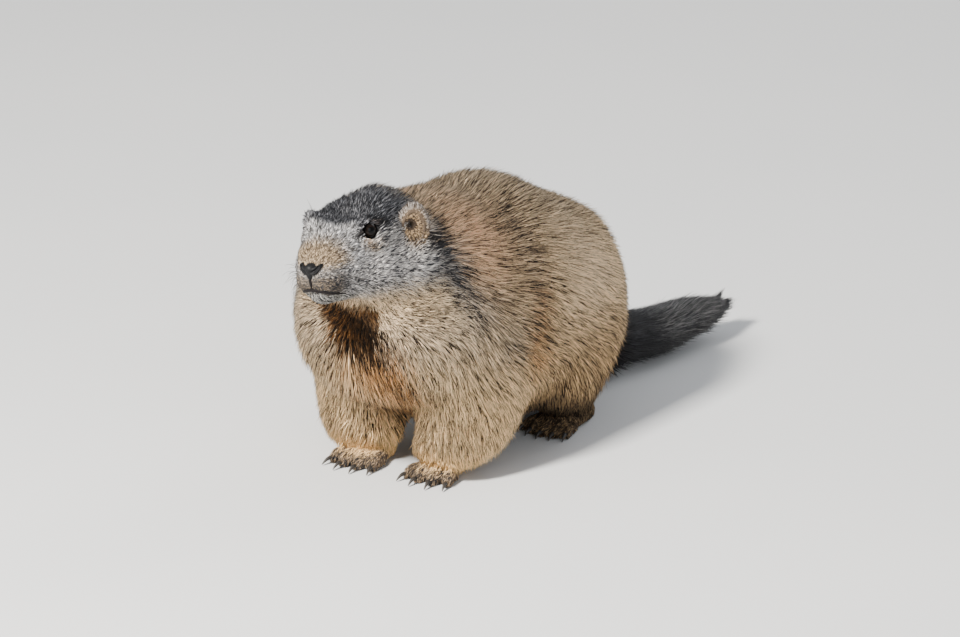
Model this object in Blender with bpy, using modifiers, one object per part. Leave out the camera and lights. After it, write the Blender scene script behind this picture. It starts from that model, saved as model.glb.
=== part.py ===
"""Alpine marmot, life size, standing low on all fours with its head up.

The animal faces -Y, its left side is at +X and the floor is at Z = 0. The body is shaped whole,
out to the tips of its coat, and is then parted with thin cuts into the pieces a person would name.
All sizes are in metres. Body places are counted from the floor between the two fore paws; the last
step moves the finished animal so that the origin is the middle of its footprint.
"""

import math
import random

import bmesh
import bpy
from mathutils import Matrix, Vector
from mathutils.bvhtree import BVHTree

GAP = 0.0003
WELDS = (0.0001, 0.00005, 0.00002, 0.00001)
BULK_VOXEL = 0.0038
FINE_VOXEL = 0.0021
BODY_TRIANGLES = 4250
FLAT_LEVEL = 0.0016

# Head: the nose tip, how the face is turned, and its reach back from the nose
NOSE_TIP = Vector((0.004, -0.128, 0.206))
HEAD_YAW = math.radians(5.0)
HEAD_ROLL = math.radians(-6.0)
HEAD_PIVOT_BACK = 0.06

# Eyes, in the head's own frame: x to its left, y back from the nose tip, z up
EYE_BACK = 0.0568
EYE_ASIDE = 0.0232
EYE_UP = 0.0205
EYE_RADIUS = 0.0078
EYE_TURN = math.radians(60.0)
EYE_LIFT = math.radians(8.0)
LID_THICKNESS = 0.0014
EYE_OPENING = (0.0070, 0.0060, 0.0062)

# Ears
EAR_BACK = 0.0905
EAR_ASIDE = 0.0430
EAR_UP = 0.0115
EAR_HALF = (0.0105, 0.0050, 0.0165)

# Paws: the wrist or heel on each side, the reach of the foot, its toes and its claws
FORE_PAW = {"left": (0.037, 0.012), "right": (-0.032, 0.009)}
HIND_PAW = {"left": (0.053, 0.166), "right": (-0.053, 0.166)}
TOE_RADIUS = 0.0056
FORE_CLAW = 0.0150
HIND_CLAW = 0.0120

SIDES = {"left": 1, "right": -1}

# Coat: how far the core lies below the tips, and each lock's length, half width and spacing
COAT_SEED = 13
TAIL_START = 0.262
TAIL_END = 0.455
TAIL_LIE = Vector((0.16, 1.0, -0.05))
LOCK_THICKNESS = 0.0016
LOCK_ROOT_SINK = 0.0032
LOCK_LOWEST = 0.0045
LOCK_SINK = (1.00, 0.55, 0.18, 0.00)
LOCK_WIDTHS = (0.50, 1.00, 0.74, 0.06)
LOCK_THICKNESSES = (1.00, 1.00, 0.75, 0.20)
SHORT_FUR_BACK = 0.100
SHORT_FUR_BELOW = 0.030
COATS = {
    "trunk": {"depth": 0.0065, "length": 0.060, "half_width": 0.0160, "spacing": 0.0415},
    "neck": {"depth": 0.0050, "length": 0.044, "half_width": 0.0130, "spacing": 0.0340},
    "legs": {"depth": 0.0035, "length": 0.034, "half_width": 0.0100, "spacing": 0.0340},
    "tail": {"depth": 0.0090, "length": 0.048, "half_width": 0.0110, "spacing": 0.0300},
}

# Cuts between the pieces: a point on each and the direction of the piece that comes off
HEAD_CUT = ((0.0, -0.062, 0.160), (0.0, -0.80, 0.60))
NECK_CUT = ((0.0, 0.005, 0.190), (0.0, -0.60, 0.80))
TAIL_CUT = ((0.0, 0.256, 0.050), (0.0, 0.80, -0.60))
WRIST_CUT = ((0.0, 0.012, 0.0215), (0.0, -0.25, -0.97))
ANKLE_CUT = ((0.0, 0.166, 0.0225), (0.0, -0.20, -0.98))
FORE_LEG_ROOM = ((-0.10, 0.088), (-0.05, 0.084))
HIND_LEG_ROOM = ((0.102, 0.30), (-0.05, 0.112))

# Colours, as linear RGB, with each finish's roughness
FINISHES = {
    "coat": ((0.36, 0.25, 0.14), 0.85),
    "coat_grey": ((0.22, 0.20, 0.18), 0.85),
    "coat_dark": ((0.03, 0.028, 0.028), 0.85),
    "paw_fur": ((0.30, 0.21, 0.12), 0.8),
    "nose_skin": ((0.012, 0.011, 0.012), 0.4),
    "eye": ((0.006, 0.005, 0.005), 0.08),
}

FINISH_OF = {
    "torso": "coat",
    "neck": "coat",
    "head": "coat_grey",
    "tail": "coat_dark",
    "nose": "nose_skin",
    "eye": "eye",
    "ear": "coat_grey",
    "foreleg": "coat",
    "hindleg": "coat",
    "forepaw": "paw_fur",
    "hindpaw": "paw_fur",
}


def clear_scene():
    """Remove the objects that the file starts with."""
    for obj in list(bpy.data.objects):
        bpy.data.objects.remove(obj)


def new_collection(name):
    """A collection linked to the scene."""
    made = bpy.data.collections.new(name)
    bpy.context.scene.collection.children.link(made)
    return made


def settle(obj):
    """Apply an object's modifiers by swapping in its evaluated mesh."""
    graph = bpy.context.evaluated_depsgraph_get()
    obj.data = bpy.data.meshes.new_from_object(obj.evaluated_get(graph))
    obj.modifiers.clear()
    return obj


def duplicate(obj, name, collection):
    """A second object with its own copy of the mesh."""
    made = bpy.data.objects.new(name, obj.data.copy())
    collection.objects.link(made)
    return made


def discard(*objects):
    """Remove helpers that are no longer needed."""
    for obj in objects:
        bpy.data.objects.remove(obj)


def eased(stations, place):
    """The centre and radii at a place along stations, on a smooth curve through all of them."""
    last = len(stations) - 1
    index = min(int(place), last - 1)
    share = place - index
    rows = [stations[max(0, min(last, index + step))] for step in (-1, 0, 1, 2)]
    found = []
    for item in (0, 1):
        before, start, end, after = (Vector(row[item]) for row in rows)
        found.append(
            0.5
            * (
                2 * start
                + (end - before) * share
                + (2 * before - 5 * start + 4 * end - after) * share**2
                + (3 * start - before - 3 * end + after) * share**3
            )
        )
    return found


class Clay:
    """Closed forms gathered as points and faces."""

    def __init__(self):
        self.points = []
        self.faces = []
        self.balls = {}

    def ball(self, segments):
        """The points and faces of a unit ball, made once for each number of segments."""
        if segments not in self.balls:
            bm = bmesh.new()
            bmesh.ops.create_uvsphere(
                bm, u_segments=segments, v_segments=segments * 2 // 3, radius=1.0
            )
            points = [vert.co.copy() for vert in bm.verts]
            faces = [[vert.index for vert in face.verts] for face in bm.faces]
            bm.free()
            self.balls[segments] = (points, faces)
        return self.balls[segments]

    def egg(self, centre, radii, turn=None, segments=24):
        """Add an ellipsoid, turned about its centre."""
        points, faces = self.ball(segments)
        scale = Matrix.Diagonal((*radii, 1.0))
        place = Matrix.Translation(centre) @ (turn or Matrix.Identity(4)) @ scale
        first = len(self.points)
        self.points += [place @ point for point in points]
        self.faces += [[first + index for index in face] for face in faces]

    def run(self, stations, steps=6, frame=None, segments=24):
        """Add eggs close together along stations, each a centre and radii."""
        frame = frame or Matrix.Identity(4)
        turn = frame.to_3x3().to_4x4()
        for step in range((len(stations) - 1) * steps + 1):
            centre, radii = eased(stations, step / steps)
            self.egg(frame @ centre, radii, turn, segments)

    def loft(self, rings):
        """Add a closed form through rings of three points."""
        first = len(self.points)
        for ring in rings:
            self.points += ring
        last = first + 3 * (len(rings) - 1)
        self.faces.append([first + 2, first + 1, first])
        self.faces.append([last, last + 1, last + 2])
        for low in range(first, last, 3):
            for corner in range(3):
                other = (corner + 1) % 3
                self.faces.append([low + corner, low + other, low + 3 + other])
                self.faces.append([low + corner, low + 3 + other, low + 3 + corner])

    def add_mesh(self, mesh):
        """Add a finished closed mesh."""
        first = len(self.points)
        self.points += [vert.co.copy() for vert in mesh.vertices]
        self.faces += [[first + index for index in face.vertices] for face in mesh.polygons]

    def to_object(self, name, collection):
        """The gathered forms as one object."""
        mesh = bpy.data.meshes.new(name)
        mesh.from_pydata(self.points, [], self.faces)
        obj = bpy.data.objects.new(name, mesh)
        collection.objects.link(obj)
        return obj


def head_frame():
    """The head's frame: the nose tip, turned by yaw and rolled about the skull's middle."""
    yaw = Matrix.Rotation(HEAD_YAW, 4, "Z")
    lift = Matrix.Translation((0, HEAD_PIVOT_BACK, 0))
    roll = lift @ Matrix.Rotation(HEAD_ROLL, 4, "Y") @ lift.inverted()
    return Matrix.Translation(NOSE_TIP) @ yaw @ roll


HEAD = head_frame()
HEAD_TURN = HEAD.to_3x3().to_4x4()
HEAD_INVERSE = HEAD.inverted()


def add_trunk(clay):
    """Chest, shoulders, ribs, loin and rump, as cross-sections from front to back."""
    clay.run(
        [
            ((0, -0.034, 0.134), (0.070, 0.038, 0.058)),
            ((0, 0.000, 0.130), (0.091, 0.046, 0.072)),
            ((0, 0.045, 0.122), (0.098, 0.052, 0.085)),
            ((0, 0.095, 0.117), (0.100, 0.054, 0.100)),
            ((0, 0.145, 0.113), (0.102, 0.056, 0.098)),
            ((0, 0.183, 0.104), (0.098, 0.056, 0.086)),
            ((0, 0.204, 0.098), (0.085, 0.052, 0.080)),
        ],
        steps=8,
        segments=36,
    )


def add_neck(clay):
    """The thick neck, from between the shoulders to the back of the skull."""
    clay.run(
        [
            ((0, 0.085, 0.138), (0.082, 0.050, 0.074)),
            ((0, 0.040, 0.149), (0.080, 0.048, 0.075)),
            ((0.001, 0.000, 0.164), (0.071, 0.044, 0.065)),
            ((0.001, -0.030, 0.183), (0.060, 0.040, 0.060)),
        ],
        steps=8,
        segments=32,
    )


def add_skull(clay):
    """Cheeks, crown, forehead, muzzle and chin in the head's frame."""
    clay.run(
        [
            ((0, 0.0145, -0.0065), (0.0168, 0.0142, 0.0150)),
            ((0, 0.0300, -0.0015), (0.0235, 0.0180, 0.0205)),
            ((0, 0.0480, 0.0025), (0.0320, 0.0220, 0.0280)),
            ((0, 0.0680, 0.0040), (0.0395, 0.0250, 0.0360)),
            ((0, 0.0880, 0.0030), (0.0440, 0.0280, 0.0410)),
            ((0, 0.1020, 0.0000), (0.0460, 0.0280, 0.0410)),
        ],
        frame=HEAD,
        segments=28,
    )
    clay.egg(HEAD @ Vector((0, 0.024, -0.0215)), (0.0130, 0.0170, 0.0115), HEAD_TURN)
    clay.egg(HEAD @ Vector((0, 0.044, -0.0200)), (0.0200, 0.0240, 0.0160), HEAD_TURN)
    for side in SIDES.values():
        clay.egg(HEAD @ Vector((side * 0.0210, 0.068, -0.0150)), (0.0260, 0.0320, 0.0270), HEAD_TURN)
        clay.egg(HEAD @ Vector((side * 0.0095, 0.017, -0.0115)), (0.0115, 0.0135, 0.0105), HEAD_TURN)
        clay.egg(HEAD @ Vector((side * 0.0140, 0.044, -0.0110)), (0.0185, 0.0230, 0.0180), HEAD_TURN)
        clay.egg(HEAD @ Vector((side * 0.0200, 0.056, 0.0225)), (0.0130, 0.0150, 0.0110), HEAD_TURN)


def add_limb_bulk(clay):
    """The fore legs from shoulder to wrist and the folded hind legs."""
    for side in SIDES.values():
        clay.run(
            [
                ((side * 0.054, 0.032, 0.108), (0.044, 0.050, 0.046)),
                ((side * 0.053, 0.034, 0.076), (0.041, 0.047, 0.036)),
                ((side * 0.049, 0.027, 0.048), (0.038, 0.040, 0.028)),
                ((side * 0.043, 0.017, 0.028), (0.033, 0.031, 0.017)),
            ]
        )
        clay.run(
            [
                ((side * 0.056, 0.152, 0.090), (0.045, 0.060, 0.058)),
                ((side * 0.058, 0.150, 0.062), (0.037, 0.048, 0.038)),
                ((side * 0.053, 0.164, 0.032), (0.025, 0.032, 0.022)),
            ]
        )


def add_tail_bulk(clay):
    """The bushy tail, laid back along the floor."""
    clay.run(
        [
            ((0.002, 0.228, 0.058), (0.030, 0.028, 0.030)),
            ((0.008, 0.272, 0.037), (0.026, 0.026, 0.025)),
            ((0.018, 0.320, 0.027), (0.026, 0.026, 0.022)),
            ((0.028, 0.376, 0.026), (0.024, 0.026, 0.020)),
            ((0.035, 0.420, 0.026), (0.012, 0.022, 0.013)),
        ]
    )


def melt(obj, voxel, rounds):
    """Melt overlapping forms into one skin and relax it."""
    remesh = obj.modifiers.new("melt", "REMESH")
    remesh.mode = "VOXEL"
    remesh.voxel_size = voxel
    if rounds:
        relax = obj.modifiers.new("relax", "SMOOTH")
        relax.factor = 0.5
        relax.iterations = rounds
    return settle(obj)


def paws():
    """Each paw's side name, kind, heel place, number of toes and claw length."""
    for name, side in SIDES.items():
        yield name, side, "forepaw", Vector((*FORE_PAW[name], 0)), 4, FORE_CLAW
        yield name, side, "hindpaw", Vector((*HIND_PAW[name], 0)), 5, HIND_CLAW


def toes(side, heel, count):
    """Each toe's knuckle, tip and heading."""
    length = 0.045 if count == 4 else 0.070
    for number in range(count):
        share = number / (count - 1) - 0.5
        turn = side * 0.04 + share * 0.50
        ahead = Vector((math.sin(turn), -math.cos(turn), 0))
        knuckle = heel + Vector((share * 0.030, -0.18 * length, 0.0065))
        reach = (0.021 if count == 4 else 0.023) * (1.0 - 0.7 * abs(share) ** 1.6)
        yield knuckle, knuckle + ahead * reach, ahead


def add_paw(clay, side, heel, count):
    """A palm or sole with its toes spread ahead of it."""
    length = 0.045 if count == 4 else 0.070
    clay.run(
        [
            (heel + Vector((0, 0.25 * length, 0.010)), (0.0155, 0.0140, 0.0115)),
            (heel + Vector((0, -0.10 * length, 0.0085)), (0.0180, 0.0150, 0.0090)),
        ]
    )
    for knuckle, tip, _ in toes(side, heel, count):
        clay.run(
            [
                (knuckle, (TOE_RADIUS,) * 3),
                (knuckle.lerp(tip, 0.55) + Vector((0, 0, 0.0012)), (TOE_RADIUS * 0.95,) * 3),
                (tip - Vector((0, 0, 0.0014)), (TOE_RADIUS * 0.82,) * 3),
            ],
            segments=12,
        )


def share_of(value, low, high):
    """Where a value lies from low to high, eased and held between 0 and 1."""
    share = max(0.0, min(1.0, (value - low) / (high - low)))
    return share * share * (3 - 2 * share)


def coat_at(point):
    """The kind of coat that grows at a place, or None where the fur is short."""
    if point.y > TAIL_START:
        return "tail"
    on_face = (HEAD_INVERSE @ point).y < SHORT_FUR_BACK and point.z > 0.150
    if on_face or point.z < SHORT_FUR_BELOW:
        return None
    if point.z < (0.090 if point.y < 0.075 else 0.062):
        return "legs"
    if point.y < 0.030 and point.z > 0.150:
        return "neck"
    return "trunk"


def core_depth(point):
    """How far the core lies below the coat's tips at a place."""
    behind_face = share_of((HEAD_INVERSE @ point).y, 0.085, 0.120)
    behind_face = max(behind_face, 1 - share_of(point.z, 0.120, 0.165))
    above_paws = share_of(point.z, 0.022, 0.045)
    on_tail = share_of(point.y, 0.250, 0.275)
    legs = share_of(point.z, 0.060, 0.110)
    body = COATS["legs"]["depth"] * (1 - legs) + COATS["trunk"]["depth"] * legs
    body *= behind_face * above_paws
    return body * (1 - on_tail) + COATS["tail"]["depth"] * on_tail


def lie_at(point, normal):
    """The way the coat lies at a place, along the surface."""
    flank = share_of(abs(point.x), 0.02, 0.10)
    lie = Vector((0, 1, -0.15 - 0.75 * flank))
    chest = 1 - share_of(point.y, -0.030, 0.030)
    lie = lie.lerp(Vector((0, 0.25, -1)), chest * (1 - share_of(point.z, 0.170, 0.215)))
    low = 1 - share_of(point.z, 0.060, 0.110)
    if point.y < 0.255:
        lie = lie.lerp(Vector((0, 0.25, -1)), low)
    else:
        lie = TAIL_LIE.copy()
    lie -= normal * lie.dot(normal)
    return lie.normalized()


def follow(tree, start, normal, turn, length, steps):
    """A path over the surface along the coat's lie, with the surface's normal at each point."""
    point = start.copy()
    path = [(point.copy(), normal.copy(), lie_at(point, normal))]
    for _ in range(steps):
        way = Matrix.Rotation(turn, 3, normal) @ lie_at(point, normal)
        ahead = point + way * (length / steps)
        near, near_normal, _, _ = tree.find_nearest(ahead)
        if (near - point).dot(way) > 0.6 * length / steps:
            ahead, normal = near, near_normal
        path.append((ahead.copy(), normal.copy(), (ahead - point).normalized()))
        point = ahead
    return path


def add_lock(clay, tree, start, normal, kind, chance):
    """One flat lock: its root sunk in the core, bent over and tapered to its tip."""
    coat = COATS[kind]
    length = min(coat["length"] * chance.uniform(0.85, 1.15), TAIL_END - start.y)
    half_width = coat["half_width"] * chance.uniform(0.85, 1.15)
    lift = chance.uniform(-0.0008, 0.0012)
    turn = chance.uniform(-0.22, 0.22)
    path = follow(tree, start, normal, turn, length, 3)
    shapes = zip(path, LOCK_SINK, (-LOCK_ROOT_SINK, 0, 0, lift), LOCK_WIDTHS, LOCK_THICKNESSES)
    rings = []
    for (place, up, way), sink, rise, wide, thick in shapes:
        centre = place + up * (rise - core_depth(place) * sink)
        centre.z = max(centre.z, LOCK_LOWEST)
        across = up.cross(way).normalized() * half_width * wide
        rings.append([centre - across, centre + across, centre + up * LOCK_THICKNESS * thick])
    clay.loft(rings)


def add_locks(outer, helpers, core):
    """Join the coat's overlapping locks to the core, spread evenly over the long-haired parts."""
    chance = random.Random(COAT_SEED)
    bm = bmesh.new()
    bm.from_mesh(outer.data)
    tree = BVHTree.FromBMesh(bm)
    spots = [(vert.co.copy(), vert.normal.copy()) for vert in bm.verts]
    bm.free()
    chance.shuffle(spots)
    roots = []
    for spot, normal in spots:
        kind = coat_at(spot)
        underside = normal.z < -0.55 and kind != "tail"
        if kind is None or underside or spot.y > TAIL_END - 0.025:
            continue
        if all((spot - other).length > COATS[kind]["spacing"] for other, _, _ in roots):
            roots.append((spot, normal, kind))
    locks = new_collection("locks")
    for number, (spot, normal, kind) in enumerate(roots):
        clay = Clay()
        add_lock(clay, tree, spot, normal, kind, chance)
        clay.to_object(f"lock_{number}", locks)
    join = core.modifiers.new("join", "BOOLEAN")
    join.operation = "UNION"
    join.operand_type = "COLLECTION"
    join.collection = locks
    join.solver = "MANIFOLD"
    settle(core)
    discard(*list(locks.objects))
    bpy.data.collections.remove(locks)
    return keep_largest(core)


def build_whole(helpers):
    """The whole animal as one closed solid of core and locks, flat where it meets the floor."""
    clay = Clay()
    add_trunk(clay)
    add_neck(clay)
    add_skull(clay)
    add_limb_bulk(clay)
    add_tail_bulk(clay)
    bulk = melt(clay.to_object("bulk", helpers), BULK_VOXEL, 14)
    clay = Clay()
    clay.add_mesh(bulk.data)
    for _, side, _, heel, count, _ in paws():
        add_paw(clay, side, heel, count)
    discard(bulk)
    outer = melt(clay.to_object("outer", helpers), FINE_VOXEL, 3)
    whole = duplicate(outer, "whole", helpers)
    for vert, normal in [(vert, vert.normal.copy()) for vert in whole.data.vertices]:
        vert.co -= normal * core_depth(vert.co)
    fewer = whole.modifiers.new("fewer", "DECIMATE")
    count = sum(len(face.vertices) - 2 for face in whole.data.polygons)
    fewer.ratio = BODY_TRIANGLES / count
    settle(whole)
    floor = half_space(((0, 0, FLAT_LEVEL), (0, 0, -1)), helpers)
    carve(whole, floor, "DIFFERENCE")
    discard(floor)
    add_locks(outer, helpers, keep_largest(whole))
    discard(outer)
    return whole


def box(matrix, collection):
    """A cube one metre across, placed by a matrix."""
    bm = bmesh.new()
    bmesh.ops.create_cube(bm, size=1.0, matrix=matrix)
    mesh = bpy.data.meshes.new("box")
    bm.to_mesh(mesh)
    bm.free()
    obj = bpy.data.objects.new("box", mesh)
    collection.objects.link(obj)
    return obj


def half_space(cut, collection, back=0.0):
    """A large box on the far side of a cut, moved back by a given distance."""
    point, way = Vector(cut[0]), Vector(cut[1]).normalized()
    turn = way.to_track_quat("Z", "Y").to_matrix().to_4x4()
    return box(Matrix.Translation(point + way * (0.5 - back)) @ turn, collection)


def room(x_span, y_span, z_span, collection, grow=0.0):
    """A box between the given limits, larger by grow on every side."""
    spans = (x_span, y_span, z_span)
    middle = Matrix.Translation([(low + high) / 2 for low, high in spans])
    size = Matrix.Diagonal([high - low + 2 * grow for low, high in spans] + [1.0])
    return box(middle @ size, collection)


def tubes(name, runs, collection, resolution=1):
    """Round tubes along paths, each with a radius at every point, as one mesh object."""
    curve = bpy.data.curves.new(name, "CURVE")
    curve.dimensions = "3D"
    curve.bevel_depth = 1.0
    curve.bevel_resolution = resolution
    curve.use_fill_caps = True
    for path, radii in runs:
        spline = curve.splines.new("POLY")
        spline.points.add(len(path) - 1)
        for point, place, radius in zip(spline.points, path, radii):
            point.co = (*place, 1.0)
            point.radius = radius
    guide = bpy.data.objects.new(name, curve)
    collection.objects.link(guide)
    graph = bpy.context.evaluated_depsgraph_get()
    mesh = bpy.data.meshes.new_from_object(guide.evaluated_get(graph))
    bm = bmesh.new()
    bm.from_mesh(mesh)
    bmesh.ops.remove_doubles(bm, verts=list(bm.verts), dist=0.00001)
    bmesh.ops.recalc_face_normals(bm, faces=list(bm.faces))
    bm.to_mesh(mesh)
    bm.free()
    obj = bpy.data.objects.new(name, mesh)
    collection.objects.link(obj)
    discard(guide)
    return obj


def carve(obj, cutter, operation, solver="EXACT"):
    """Apply one Boolean of a helper to an object."""
    cut = obj.modifiers.new("cut", "BOOLEAN")
    cut.operation = operation
    cut.object = cutter
    cut.solver = solver
    return settle(obj)


def keep_largest(obj):
    """Keep only the largest closed surface of an object."""
    bm = bmesh.new()
    bm.from_mesh(obj.data)
    left = set(bm.faces)
    groups = []
    while left:
        group = [left.pop()]
        for face in group:
            for edge in face.edges:
                for other in edge.link_faces:
                    if other in left:
                        left.remove(other)
                        group.append(other)
        groups.append(group)
    groups.sort(key=lambda group: sum(face.calc_area() for face in group))
    for group in groups[:-1]:
        bmesh.ops.delete(bm, geom=group, context="FACES")
    bmesh.ops.triangulate(bm, faces=list(bm.faces))
    for reach in WELDS:
        tidy = bm.copy()
        bmesh.ops.dissolve_degenerate(tidy, dist=reach, edges=list(tidy.edges))
        bmesh.ops.triangulate(tidy, faces=list(tidy.faces))
        if all(edge.is_manifold for edge in tidy.edges):
            bm, tidy = tidy, bm
            break
        tidy.free()
    bm.to_mesh(obj.data)
    bm.free()
    return obj


def part_off(rest, name, make_cutter, pieces, helpers):
    """Take the piece inside a cutter off the rest, leaving a thin gap between the two."""
    piece = duplicate(rest, name, pieces)
    cutter, wider = make_cutter(0.0), make_cutter(GAP)
    carve(piece, cutter, "INTERSECT", "MANIFOLD")
    carve(rest, wider, "DIFFERENCE", "MANIFOLD")
    discard(cutter, wider)
    return keep_largest(piece)


def part_body(whole, pieces, helpers):
    """Part the whole animal into head, neck, tail, legs, paws and torso."""
    made = {}

    def plane(cut):
        return lambda grow: half_space(cut, helpers, grow)

    def inside(x_span, y_span, z_span):
        return lambda grow: room(x_span, y_span, z_span, helpers, grow)

    for name, cut in (("head", HEAD_CUT), ("neck", NECK_CUT), ("tail", TAIL_CUT)):
        made[name] = part_off(whole, name, plane(cut), pieces, helpers)
    for side_name, side in SIDES.items():
        room_of_leg = inside(sorted((side * 0.004, side * 0.20)), *FORE_LEG_ROOM)
        leg = part_off(whole, "foreleg_" + side_name, room_of_leg, pieces, helpers)
        paw = "forepaw_" + side_name
        made[paw] = part_off(leg, paw, plane(WRIST_CUT), pieces, helpers)
        made[leg.name] = keep_largest(leg)
        room_of_leg = inside(sorted((side * 0.016, side * 0.20)), *HIND_LEG_ROOM)
        leg = part_off(whole, "hindleg_" + side_name, room_of_leg, pieces, helpers)
        paw = "hindpaw_" + side_name
        made[paw] = part_off(leg, paw, plane(ANKLE_CUT), pieces, helpers)
        made[leg.name] = keep_largest(leg)
    torso = duplicate(whole, "torso", pieces)
    made["torso"] = keep_largest(torso)
    discard(whole)
    return made


def add_claws(made, helpers):
    """Join the curved claws to the toes of each paw."""
    for name, side, kind, heel, count, length in paws():
        runs = []
        for _, tip, ahead in toes(side, heel, count):
            up = Vector((0, 0, 1))
            root = tip - Vector((0, 0, 0.0010))
            path = [
                root,
                root + ahead * (length * 0.40) + up * 0.0012,
                root + ahead * (length * 0.72) - up * 0.0004,
                root + ahead * length - up * 0.0030,
            ]
            runs.append((path, (0.0026, 0.0023, 0.0017, 0.0005)))
        claws = tubes("claws", runs, helpers, resolution=0)
        carve(made[f"{kind}_{name}"], claws, "UNION", "MANIFOLD")
        discard(claws)
        keep_largest(made[f"{kind}_{name}"])


def eye_axes(side):
    """The middle of one eye with its outward, forward and upward directions, in the head's frame."""
    centre = Vector((side * EYE_ASIDE, EYE_BACK, EYE_UP))
    out = Vector(
        (
            side * math.sin(EYE_TURN) * math.cos(EYE_LIFT),
            -math.cos(EYE_TURN) * math.cos(EYE_LIFT),
            math.sin(EYE_LIFT),
        )
    )
    forward = out.cross(Vector((0, 0, 1))).normalized() * side
    return centre, out, forward, (forward * side).cross(out)


def add_eyes(made, pieces, helpers):
    """Each eye as a ball in its socket, behind lids that follow the ball."""
    head = made["head"]
    for name, side in SIDES.items():
        centre, out, forward, up = eye_axes(side)
        turn = HEAD_TURN @ Matrix((forward * side, out, up)).transposed().to_4x4()
        shapes = (
            ("lids", centre, (EYE_RADIUS + LID_THICKNESS,) * 3, "UNION"),
            ("socket", centre, (EYE_RADIUS + GAP,) * 3, "DIFFERENCE"),
            ("opening", centre + out * EYE_RADIUS, EYE_OPENING, "DIFFERENCE"),
        )
        for shape, place, radii, operation in shapes:
            clay = Clay()
            clay.egg(HEAD @ place, radii, turn, 14)
            cutter = clay.to_object(shape, helpers)
            carve(head, cutter, operation)
            discard(cutter)
        ball = Clay()
        ball.egg(HEAD @ centre, (EYE_RADIUS,) * 3, turn, 14)
        made["eye_" + name] = ball.to_object("eye_" + name, pieces)
    keep_largest(head)


def nose_pad(name, grow, collection):
    """The leathery pad on the muzzle's front, broad above and narrow below."""
    clay = Clay()
    for side in SIDES.values():
        wing = HEAD @ Vector((side * 0.0046, 0.0054, 0.0026))
        clay.egg(wing, (0.0058, 0.0062, 0.0050), HEAD_TURN, 18)
    clay.egg(HEAD @ Vector((0, 0.0052, 0.0018)), (0.0050, 0.0060, 0.0050), HEAD_TURN, 18)
    clay.egg(HEAD @ Vector((0, 0.0050, -0.0026)), (0.0036, 0.0050, 0.0050), HEAD_TURN, 18)
    pad = melt(clay.to_object(name, collection), 0.0009, 2)
    fewer = pad.modifiers.new("fewer", "DECIMATE")
    fewer.ratio = 0.08
    swell = pad.modifiers.new("swell", "DISPLACE")
    swell.strength = grow
    swell.mid_level = 0.0
    return settle(pad)


def add_nose(made, pieces, helpers):
    """The nose with its two nostrils, set into the muzzle's front."""
    bed = nose_pad("nose_bed", GAP, helpers)
    carve(made["head"], bed, "DIFFERENCE")
    keep_largest(made["head"])
    pad = nose_pad("nose", 0.0, pieces)
    runs = []
    for side in SIDES.values():
        path = [
            HEAD @ Vector((side * 0.0028, -0.0030, 0.0004)),
            HEAD @ Vector((side * 0.0052, -0.0018, 0.0022)),
            HEAD @ Vector((side * 0.0092, 0.0010, 0.0040)),
        ]
        runs.append((path, (0.0011, 0.0018, 0.0009)))
    holes = tubes("nostrils", runs, helpers)
    carve(pad, holes, "DIFFERENCE")
    discard(bed, holes)
    made["nose"] = keep_largest(pad)


def on_surface(tree, start, towards):
    """Where a ray from outside meets a surface, or the start if it misses."""
    spot, _, _, _ = tree.ray_cast(start, (towards - start).normalized())
    return spot or start


def cut_mouth(made, helpers):
    """The mouth line and the groove from nose to lip, as grooves in the muzzle."""
    head = made["head"]
    bm = bmesh.new()
    bm.from_mesh(head.data)
    tree = BVHTree.FromBMesh(bm)
    bm.free()
    lips = []
    for step in range(-6, 7):
        share = abs(step) / 6
        aside = math.copysign(math.sin(share * math.pi / 2), step)
        low = -0.0190 - 0.0075 * share**1.5
        start = Vector((aside * 0.060, -0.020 + share * 0.055, low))
        goal = Vector((0, 0.016 + 0.020 * share, low))
        lips.append(on_surface(tree, HEAD @ start, HEAD @ goal))
    drop = []
    for step in range(5):
        low = -0.0055 - 0.0130 * step / 4
        drop.append(on_surface(tree, HEAD @ Vector((0, -0.03, low)), HEAD @ Vector((0, 0.02, low))))
    lip_radii = [0.0013 - 0.0007 * (abs(step) / 6) ** 2 for step in range(-6, 7)]
    for path, radii in ((lips, lip_radii), (drop, [0.0008] * 5)):
        groove = tubes("groove", [(path, radii)], helpers)
        carve(head, groove, "DIFFERENCE")
        discard(groove)
    keep_largest(head)


def add_ears(made, pieces, helpers):
    """Small rounded ear cups standing on the sides of the head, open ahead and outwards."""
    for name, side in SIDES.items():
        centre = HEAD @ Vector((side * EAR_ASIDE, EAR_BACK, EAR_UP))
        facing = Vector((side * 0.62, -0.76, 0.10)).normalized()
        tall = Vector((side * 0.28, 0.10, 1.0))
        tall = (tall - facing * tall.dot(facing)).normalized()
        wide = facing.cross(tall)
        turn = HEAD_TURN @ Matrix((wide, facing, tall)).transposed().to_4x4()
        cup = Clay()
        cup.egg(centre, EAR_HALF, turn, 16)
        ear = cup.to_object("ear_" + name, pieces)
        hollow = Clay()
        hollow.egg(
            centre + turn.to_3x3() @ Vector((0, 0.0052, 0.0008)), (0.0080, 0.0062, 0.0132), turn, 12
        )
        cutter = hollow.to_object("cup", helpers)
        carve(ear, cutter, "DIFFERENCE")
        swollen = duplicate(made["head"], "swollen", helpers)
        swell = swollen.modifiers.new("swell", "DISPLACE")
        swell.strength = GAP
        swell.mid_level = 0.0
        settle(swollen)
        carve(ear, swollen, "DIFFERENCE")
        discard(cutter, swollen)
        made["ear_" + name] = keep_largest(ear)


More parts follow.
